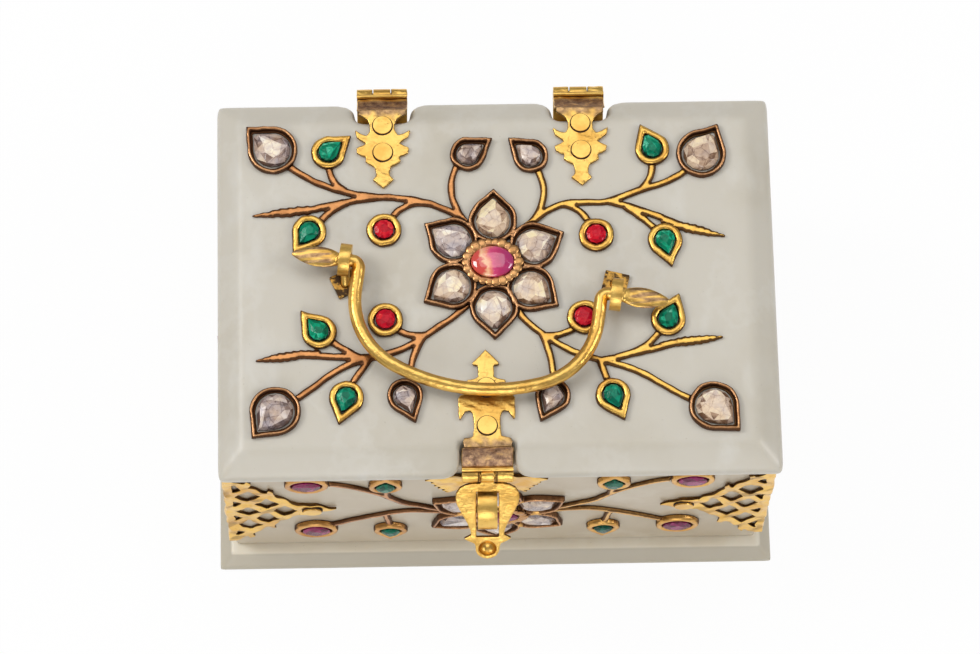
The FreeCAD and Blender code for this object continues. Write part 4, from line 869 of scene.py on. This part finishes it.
def strapShadeAndStain(spots, normals, look):
    # bright plate with painted shade on its sides, stained tongue, bright knuckles with painted shade in
    # the gaps between them and in the groove above them. Below is 0 at the plate and 1 at the knuckles
    plateTop = lidTop + look["plate"]
    below = (plateTop - spots[:, 2]) / (plateTop - spots[:, 2].min() - look["knuckle"])
    tongue = ease(below, 0.0, 0.12) * (1 - ease(below, 0.88, 0.98)) * ease(np.abs(normals[:, 0]), 0.6, 0.2)
    across = np.abs(spots[:, 0] - (spots[:, 0].min() + spots[:, 0].max()) / 2)
    gap = np.exp(-((across - look["gap"]) / look["gapWidth"]) ** 2) * ease(below, 0.96, 1.02)
    groove = np.exp(-((below - 1.0) / 0.03) ** 2)
    plate = ease(normals[:, 2], 0.2, 0.75)
    onPlate = below < 0.05

    # the stain creeps a little way onto the plate
    inward = np.abs(spots[:, 1]).max() - np.abs(spots[:, 1])
    bend = inward[(below > 0.4) & (below < 0.8)].max()
    edge = look["ragged"] * ripple(spots, look["raggedLength"], 41)
    creep = 1 - ease(inward - bend + edge, *look["creep"])
    rise = np.where(onPlate, plate, 1 - 0.9 * np.maximum(gap, groove))
    return rise, np.where(onPlate, 0.85 * creep * plate, tongue)


def haspLight(spots, normals, look):
    # painted light: faces turned up and towards the front are lighter, the others are painted shade
    rise = 0.3 + 0.7 * ease(normals @ np.array(look["faces"]), -0.2, 0.7)
    return rise, 0 * rise


def handleShadeAndStreaks(spots, normals, look):
    # the leaf ends, past the eyes, have brown streaks along them
    # painted shade: the handle is darker where it faces down
    rise = 0.45 + 0.55 * ease(normals[:, 2], -0.5, 0.3)
    left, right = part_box("eye_pin_left")[0].x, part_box("eye_pin_right")[1].x
    past = np.maximum(left - spots[:, 0], spots[:, 0] - right)
    streak = ease(ripple(spots * look["along"], look["streak"], 17), -0.3, 0.6)
    return rise, 0.85 * ease(past, *look["leaf"]) * streak


def wallShadeAndWear(spots, normals, look):
    # each wing is lighter on its own outer face, and the corner on both: painted shade on the sides of the
    # bars, and random patches dulled as wear
    facing = np.zeros(len(spots))
    for side in wallNames:
        out = np.array(faces[side]["out"])
        outside = spots @ out > faces[side]["level"] - look["edge"]
        facing = np.maximum(facing, outside * np.abs(normals @ out))
    mottle = ease(ripple(spots, look["mottle"], 33), 0.1, 0.9)
    rise = ease(facing, 0.35, 0.85) * (1 - 0.42 * mottle)
    return rise, 0 * rise


for hand in ("left", "right"):
    worked(f"hinge-strap-{hand}", f"hinge_lid_leaf_{hand}", "lid", strapShadeAndStain, strapLook)
worked("hasp-strap-worked", "hasp_strap", "lid", strapShadeAndStain, strapLook)
worked("hasp-worked", "hasp_plate", "hasp", haspLight, haspLook)
worked("handle-worked", "handle", "handle", handleShadeAndStreaks, handleLook)
worked("staple-leaf", "staple_plate", "box", wallShadeAndWear, mountLook)
for quarter in sorted(quarters):
    pieceName = f"corner-mount-{quarter.replace('_', '-')}"
    worked(pieceName, f"corner_mount_{quarter}", "box", wallShadeAndWear, mountLook)
print("straps, hasp, mounts and handle worked")


class Growth(Web):
    # one geometry tree: named inputs, realized and dressed at its end
    def __init__(self, name, **inputs):
        self.tree = bpy.data.node_groups.new(name, "GeometryNodeTree")
        self.tree.interface.new_socket("Shape", in_out="INPUT", socket_type="NodeSocketGeometry")
        self.tree.interface.new_socket("Shape", in_out="OUTPUT", socket_type="NodeSocketGeometry")
        for key, kind in inputs.items():
            self.tree.interface.new_socket(key, in_out="INPUT", socket_type="NodeSocket" + kind)
        self.start = self.node("NodeGroupInput").socket.node
        self.end = self.node("NodeGroupOutput")

    def given(self, name):
        return Knob(self, self.start.outputs[name])

    def towards(self, axis, vector, rotation=None, pivot="AUTO"):
        sockets = {"Vector": vector}
        if rotation:
            sockets["Rotation"] = rotation
        return self.node("FunctionNodeAlignRotationToVector", {"axis": axis, "pivot_axis": pivot}, sockets)

    def wayOut(self):
        return self.node("GeometryNodeInputNamedAttribute", {"data_type": "FLOAT_VECTOR"}, {"Name": "out"})

    def circle(self, count, radius):
        sockets = {"Resolution": count, "Radius": radius}
        return self.node("GeometryNodeCurvePrimitiveCircle", sockets=sockets)

    def close(self, shape, finish):
        whole = self.node("GeometryNodeRealizeInstances", sockets={0: shape})
        sockets = {"Geometry": whole, "Material": finishes[finish]}
        self.plug(self.end.inputs[0], self.node("GeometryNodeSetMaterial", sockets=sockets))

    def grow(self, mesh, **values):
        def setUp(holder):
            growth = holder.modifiers.new("growth", "NODES")
            growth.node_group = self.tree
            for item in self.tree.interface.items_tree:
                if item.name in values:
                    growth[item.identifier] = values[item.name]

        return applied(mesh, setUp)


def seeds(name, spots, outs, edges=()):
    # the points that a growth starts from, each with its way out
    mesh = bpy.data.meshes.new(name)
    mesh.from_pydata([tuple(spot) for spot in spots], list(edges), [])
    way = mesh.attributes.new("out", "FLOAT_VECTOR", "POINT")
    way.data.foreach_set("vector", [part for out in outs for part in out])
    return mesh


# Ruffles round the flower hearts: small lobes along an oval
ruffleLook = {
    "lobes": 22, "lobe": (0.00112, 0.00114, 0.00042), "uneven": (0.72, 1.15), "lift": 0.00156,
    "spread": 0.0009, "round": 64, "seed": 4, "collar": 0.4, "flower": 0.75,
}
ruffle = Growth("ruffle", Lobes="Int", Lobe="Vector", Seed="Int")
path = ruffle.node("GeometryNodeMeshToCurve", sockets={"Mesh": ruffle.given("Shape")})
spaced = ruffle.node("GeometryNodeResampleCurve", sockets={"Curve": path, "Count": ruffle.given("Lobes")})
ball = ruffle.node("GeometryNodeMeshUVSphere", sockets={"Segments": 12, "Rings": 8, "Radius": 1.0})
along = ruffle.towards("X", ruffle.node("GeometryNodeInputTangent"))
upright = ruffle.towards("Z", ruffle.wayOut(), along, "X")
small, large = ruffleLook["uneven"]
sockets = {2: small, 3: large, "Seed": ruffle.given("Seed")}
uneven = ruffle.node("FunctionNodeRandomValue", {"data_type": "FLOAT"}, sockets, out=1)
sockets = {0: ruffle.given("Lobe"), "Scale": uneven}
grownLobe = ruffle.node("ShaderNodeVectorMath", {"operation": "SCALE"}, sockets)
sockets = {"Points": spaced, "Instance": ball, "Rotation": upright, "Scale": grownLobe}
ruffle.close(ruffle.node("GeometryNodeInstanceOnPoints", sockets=sockets), "settingGold")


def extent(spots):
    # the two far corners of a box round some points
    return [Vector([pick(p[axis] for p in spots) for axis in range(3)]) for pick in (min, max)]


def heartStone(nodeName, face):
    # the middle and the half sizes, across and up, of the stone nearest the middle of its face
    source = closedCopy(nodeName)
    found = []
    for group in islands(source):
        low, high = extent([face["turn"] @ source.vertices[index].co for index in group])
        found.append(((low + high) / 2, (high - low) / 2))
    bpy.data.meshes.remove(source)
    centre = flowerSpot.x if face["out"].z else 0.0
    return min(found, key=lambda stone: abs(stone[0].x - centre))


def ruffleRing(hearts, look):
    spots, outs, edges = [], [], []
    for nodeName, faceName in hearts:
        face = faces[faceName]
        middle, half = heartStone(nodeName, face)
        first = len(spots)
        lift = face["out"] * (face["level"] + look["lift"])
        for step in range(look["round"]):
            turn = 2 * math.pi * step / look["round"]
            across = middle.x + (half.x + look["spread"]) * math.cos(turn)
            up = middle.y + (half.y + look["spread"]) * math.sin(turn)
            spots.append(face["across"] * across + face["up"] * up + lift)
            outs.append(face["out"])
            edges.append((first + step, first + (step + 1) % look["round"]))
    return seeds("ruffle", spots, outs, edges)


for body, hearts in (
    ("lid", [("lid_flower_ruby", "lid")]),
    ("box", [(f"{side}_rubies", side) for side in wallNames]),
):
    values = {"Lobes": ruffleLook["lobes"], "Lobe": ruffleLook["lobe"], "Seed": ruffleLook["seed"]}
    mesh = ruffle.grow(ruffleRing(hearts, ruffleLook), **values)
    # painted shade: the lobes are darker on the sides that turn away from the face's out
    out = np.array([faces[faceName]["out"] for _, faceName in hearts])
    facing = (points(mesh, "normal") @ out.T).max(axis=1)
    store(mesh, "rise", ease(facing, 0.5, 0.98))
    store(mesh, "collar", ruffleLook["collar"])
    store(mesh, "flower", ruffleLook["flower"])
    mesh.shade_smooth()
    addPiece(f"{body}-heart-ruffle", mesh, "settingGold", "setting_gold", body)

# The dark line round every rivet head: dirt, and painted shade where the head meets the plate
grimeAndShadeLook = {"lift": 0.00046, "reach": 0.00007, "thick": 0.00017, "round": 40, "threadRound": 8}
grimeAndShadeRing = Growth("grimeAndShadeRing", Reach="Float", Thick="Float")
loop = grimeAndShadeRing.circle(grimeAndShadeLook["round"], grimeAndShadeRing.given("Reach"))
thread = grimeAndShadeRing.circle(grimeAndShadeLook["threadRound"], grimeAndShadeRing.given("Thick"))
tube = grimeAndShadeRing.node("GeometryNodeCurveToMesh", sockets={"Curve": loop, "Profile Curve": thread})
upright = grimeAndShadeRing.towards("Z", grimeAndShadeRing.wayOut())
sockets = {"Points": grimeAndShadeRing.given("Shape"), "Instance": tube, "Rotation": upright}
grimeAndShadeRing.close(grimeAndShadeRing.node("GeometryNodeInstanceOnPoints", sockets=sockets), "grimeAndShade")


def rivetHeads(nodeNames):
    # where each rivet head meets its plate, the way that it faces, and its radius
    for nodeName in nodeNames:
        source = closedCopy(nodeName)
        for group in islands(source):
            low, high = extent([source.vertices[index].co for index in group])
            middle = (low + high) / 2
            if nodeName.startswith(("hinge_lid", "hasp")):
                out, end = Vector((0, 0, 1)), high.z
            elif max(abs(low.x), abs(high.x)) > faces["right"]["level"]:
                out, end = Vector((math.copysign(1, middle.x), 0, 0)), max(abs(low.x), abs(high.x))
            else:
                out, end = Vector((0, math.copysign(1, middle.y), 0)), max(abs(low.y), abs(high.y))
            wide = sorted(high - low)[1] / 2
            yield middle + out * (end - grimeAndShadeLook["lift"] - middle.dot(out)), out, wide
        bpy.data.meshes.remove(source)


rivetNodes = {
    "lid": ("hinge_lid_rivets", "hasp_strap_rivets"),
    "box": ("corner_mount_rivets", "hinge_box_rivets"),
}
for body, nodeNames in rivetNodes.items():
    heads = list(rivetHeads(nodeNames))
    seedMesh = seeds("heads", [head[0] for head in heads], [head[1] for head in heads])
    mesh = grimeAndShadeRing.grow(seedMesh, Reach=heads[0][2] + grimeAndShadeLook["reach"], Thick=grimeAndShadeLook["thick"])
    mesh.shade_smooth()
    addPiece(f"{body}-rivet-grime", mesh, "grimeAndShade", "gold", body)

# A ledge across each strap just above its knuckles
ledgeLook = {
    "thick": 0.00044, "half": 0.005, "round": 12, "hinge": (0.04055, 0.05735), "hasp": (-0.03735, 0.05632),
}
ledge = Growth("ledge", Thick="Float")
bar = ledge.node("GeometryNodeMeshToCurve", sockets={"Mesh": ledge.given("Shape")})
bead = ledge.circle(ledgeLook["round"], ledge.given("Thick"))
sockets = {"Curve": bar, "Profile Curve": bead, "Fill Caps": True}
ledge.close(ledge.node("GeometryNodeCurveToMesh", sockets=sockets), "strapGold")
ledgeNodes = {"hinge_lid_leaf_left": "hinge", "hinge_lid_leaf_right": "hinge", "hasp_strap": "hasp"}
spots = []
for nodeName, kind in ledgeNodes.items():
    middle = sum(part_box(nodeName), Vector()).x / 2
    spots += [(middle + side * ledgeLook["half"], *ledgeLook[kind]) for side in (-1, 1)]
seedMesh = seeds("ledges", spots, [(0, 0, 1)] * len(spots), [(0, 1), (2, 3), (4, 5)])
mesh = ledge.grow(seedMesh, Thick=ledgeLook["thick"])
store(mesh, "rise", 1.0)
store(mesh, "patina", 0.0)
mesh.shade_smooth()
addPiece("strap-ledges", mesh, "strapGold", "gold", "lid")
print("ruffles, grime and ledges grown")

# Jade slabs: the lid's bevels run softly into its top, and the walls and the base have eased edges
slabLook = {"grain": 0.0008, "smoothing": 3, "bevel": (0.97, 0.85)}
slabs = {
    "lid": {"node": "lid_slab", "finish": "lidJade", "body": "lid", "grain": 0.0006, "smoothing": 24},
    "base": {"node": "base_slab", "finish": "baseJade", "body": "box", "grain": 0.0006, "smoothing": 2},
    **{wall: {"node": f"{wall}_panel", "finish": "wallJade", "body": "box"} for wall in wallNames},
}
for slabName, slab in slabs.items():
    mesh = melted(slab["node"], {**slabLook, **slab})
    # marks the faces that turn away from straight up, for the painted shade of the base's chamfer
    store(mesh, "bevel", ease(points(mesh, "normal")[:, 2], *slabLook["bevel"]))
    mesh.shade_smooth()
    addPiece(f"{slabName}-jade", mesh, slab["finish"], "jade", slab["body"], slab["node"])
print("jade slabs eased")

# Pins, rivets and washers keep the shape of their nodes
pinLook = {"join": 0.000004, "edge": 0.00016, "segments": 2, "corner": 35.0}


def soften(node, look):
    # closes the node's loose triangles, then rounds its edges
    weld = node.modifiers.new("close", "WELD")
    weld.merge_threshold = look["join"]
    bevel = node.modifiers.new("round", "BEVEL")
    bevel.width = look["edge"]
    bevel.segments = look["segments"]
    bevel.limit_method = "ANGLE"
    bevel.angle_limit = math.radians(look["corner"])


for nodeName, node in nodes.items():
    if nodeName not in stoodFor:
        dress(node.data, "agedGold" if nodeName == "eye_washers" else "pinGold")
        soften(node, pinLook)
print("kept nodes dressed")


# Floor, light and camera
stageLook = {
    "floor": paint(252, 252, 252), "speckle": paint(246, 246, 245), "grain": 40.0, "width": 6.0,
    "glow": 0.95, "room": 0.32, "aim": (0.0, 0.0, 0.03),
}


def makeFloor(look):
    floor = Finish("floor")
    ray = floor.node("ShaderNodeLightPath", out="Is Camera Ray")
    gloss = floor.node("ShaderNodeLightPath", out="Is Glossy Ray")
    grain = floor.noise(look["grain"], 3.0)
    floor.set(Base_Color=floor.mix(look["floor"], look["speckle"], grain), Roughness=0.85)
    share = (ray + gloss).step(0.0, 1.0) * look["glow"]
    sockets = {0: share, 1: floor.skin, 2: floor.node("ShaderNodeEmission")}
    floor.plug(floor.out.inputs[0], floor.node("ShaderNodeMixShader", sockets=sockets))
    return floor.material


bpy.ops.mesh.primitive_plane_add(size=stageLook["width"], location=(0, 0, 0))
floorPiece = bpy.context.object
floorPiece.name = "floor"
floorPiece.data.materials.append(makeFloor(stageLook))

world = bpy.data.worlds.new("room")
world.use_nodes = True
world.node_tree.nodes["Background"].inputs[0].default_value = (1, 1, 1, 1)
world.node_tree.nodes["Background"].inputs[1].default_value = stageLook["room"]
scene.world = world

lamps = {
    "keyLamp": {"at": (-0.8, 0.15, 0.95), "size": 0.45, "power": 5.6},
    "topLamp": {"at": (0.0, 0.42, 1.2), "size": 0.9, "power": 3.4},
    "sideLamp": {"at": (0.9, -0.1, 0.7), "size": 0.4, "power": 3.0},
    "frontLamp": {"at": (-0.1, -1.1, 0.6), "size": 0.7, "power": 3.8},
}
for lampName, lamp in lamps.items():
    light = bpy.data.lights.new(lampName, "AREA")
    light.size = lamp["size"]
    light.energy = lamp["power"]
    holder = bpy.data.objects.new(lampName, light)
    holder.location = lamp["at"]
    aim = Vector(stageLook["aim"]) - holder.location
    holder.rotation_euler = aim.to_track_quat("-Z", "Y").to_euler()
    scene.collection.objects.link(holder)

cameraLook = {
    "at": (-0.022637, -0.302286, 0.893412), "turn": (19.38384, -1.00319, -1.26188), "lens": 166.204,
}
camera = bpy.data.cameras.new("camera")
camera.lens = cameraLook["lens"]
cameraPiece = bpy.data.objects.new("camera", camera)
cameraPiece.location = cameraLook["at"]
cameraPiece.rotation_euler = Euler([math.radians(angle) for angle in cameraLook["turn"]], "XYZ")
scene.collection.objects.link(cameraPiece)
scene.camera = cameraPiece
print("stage set")
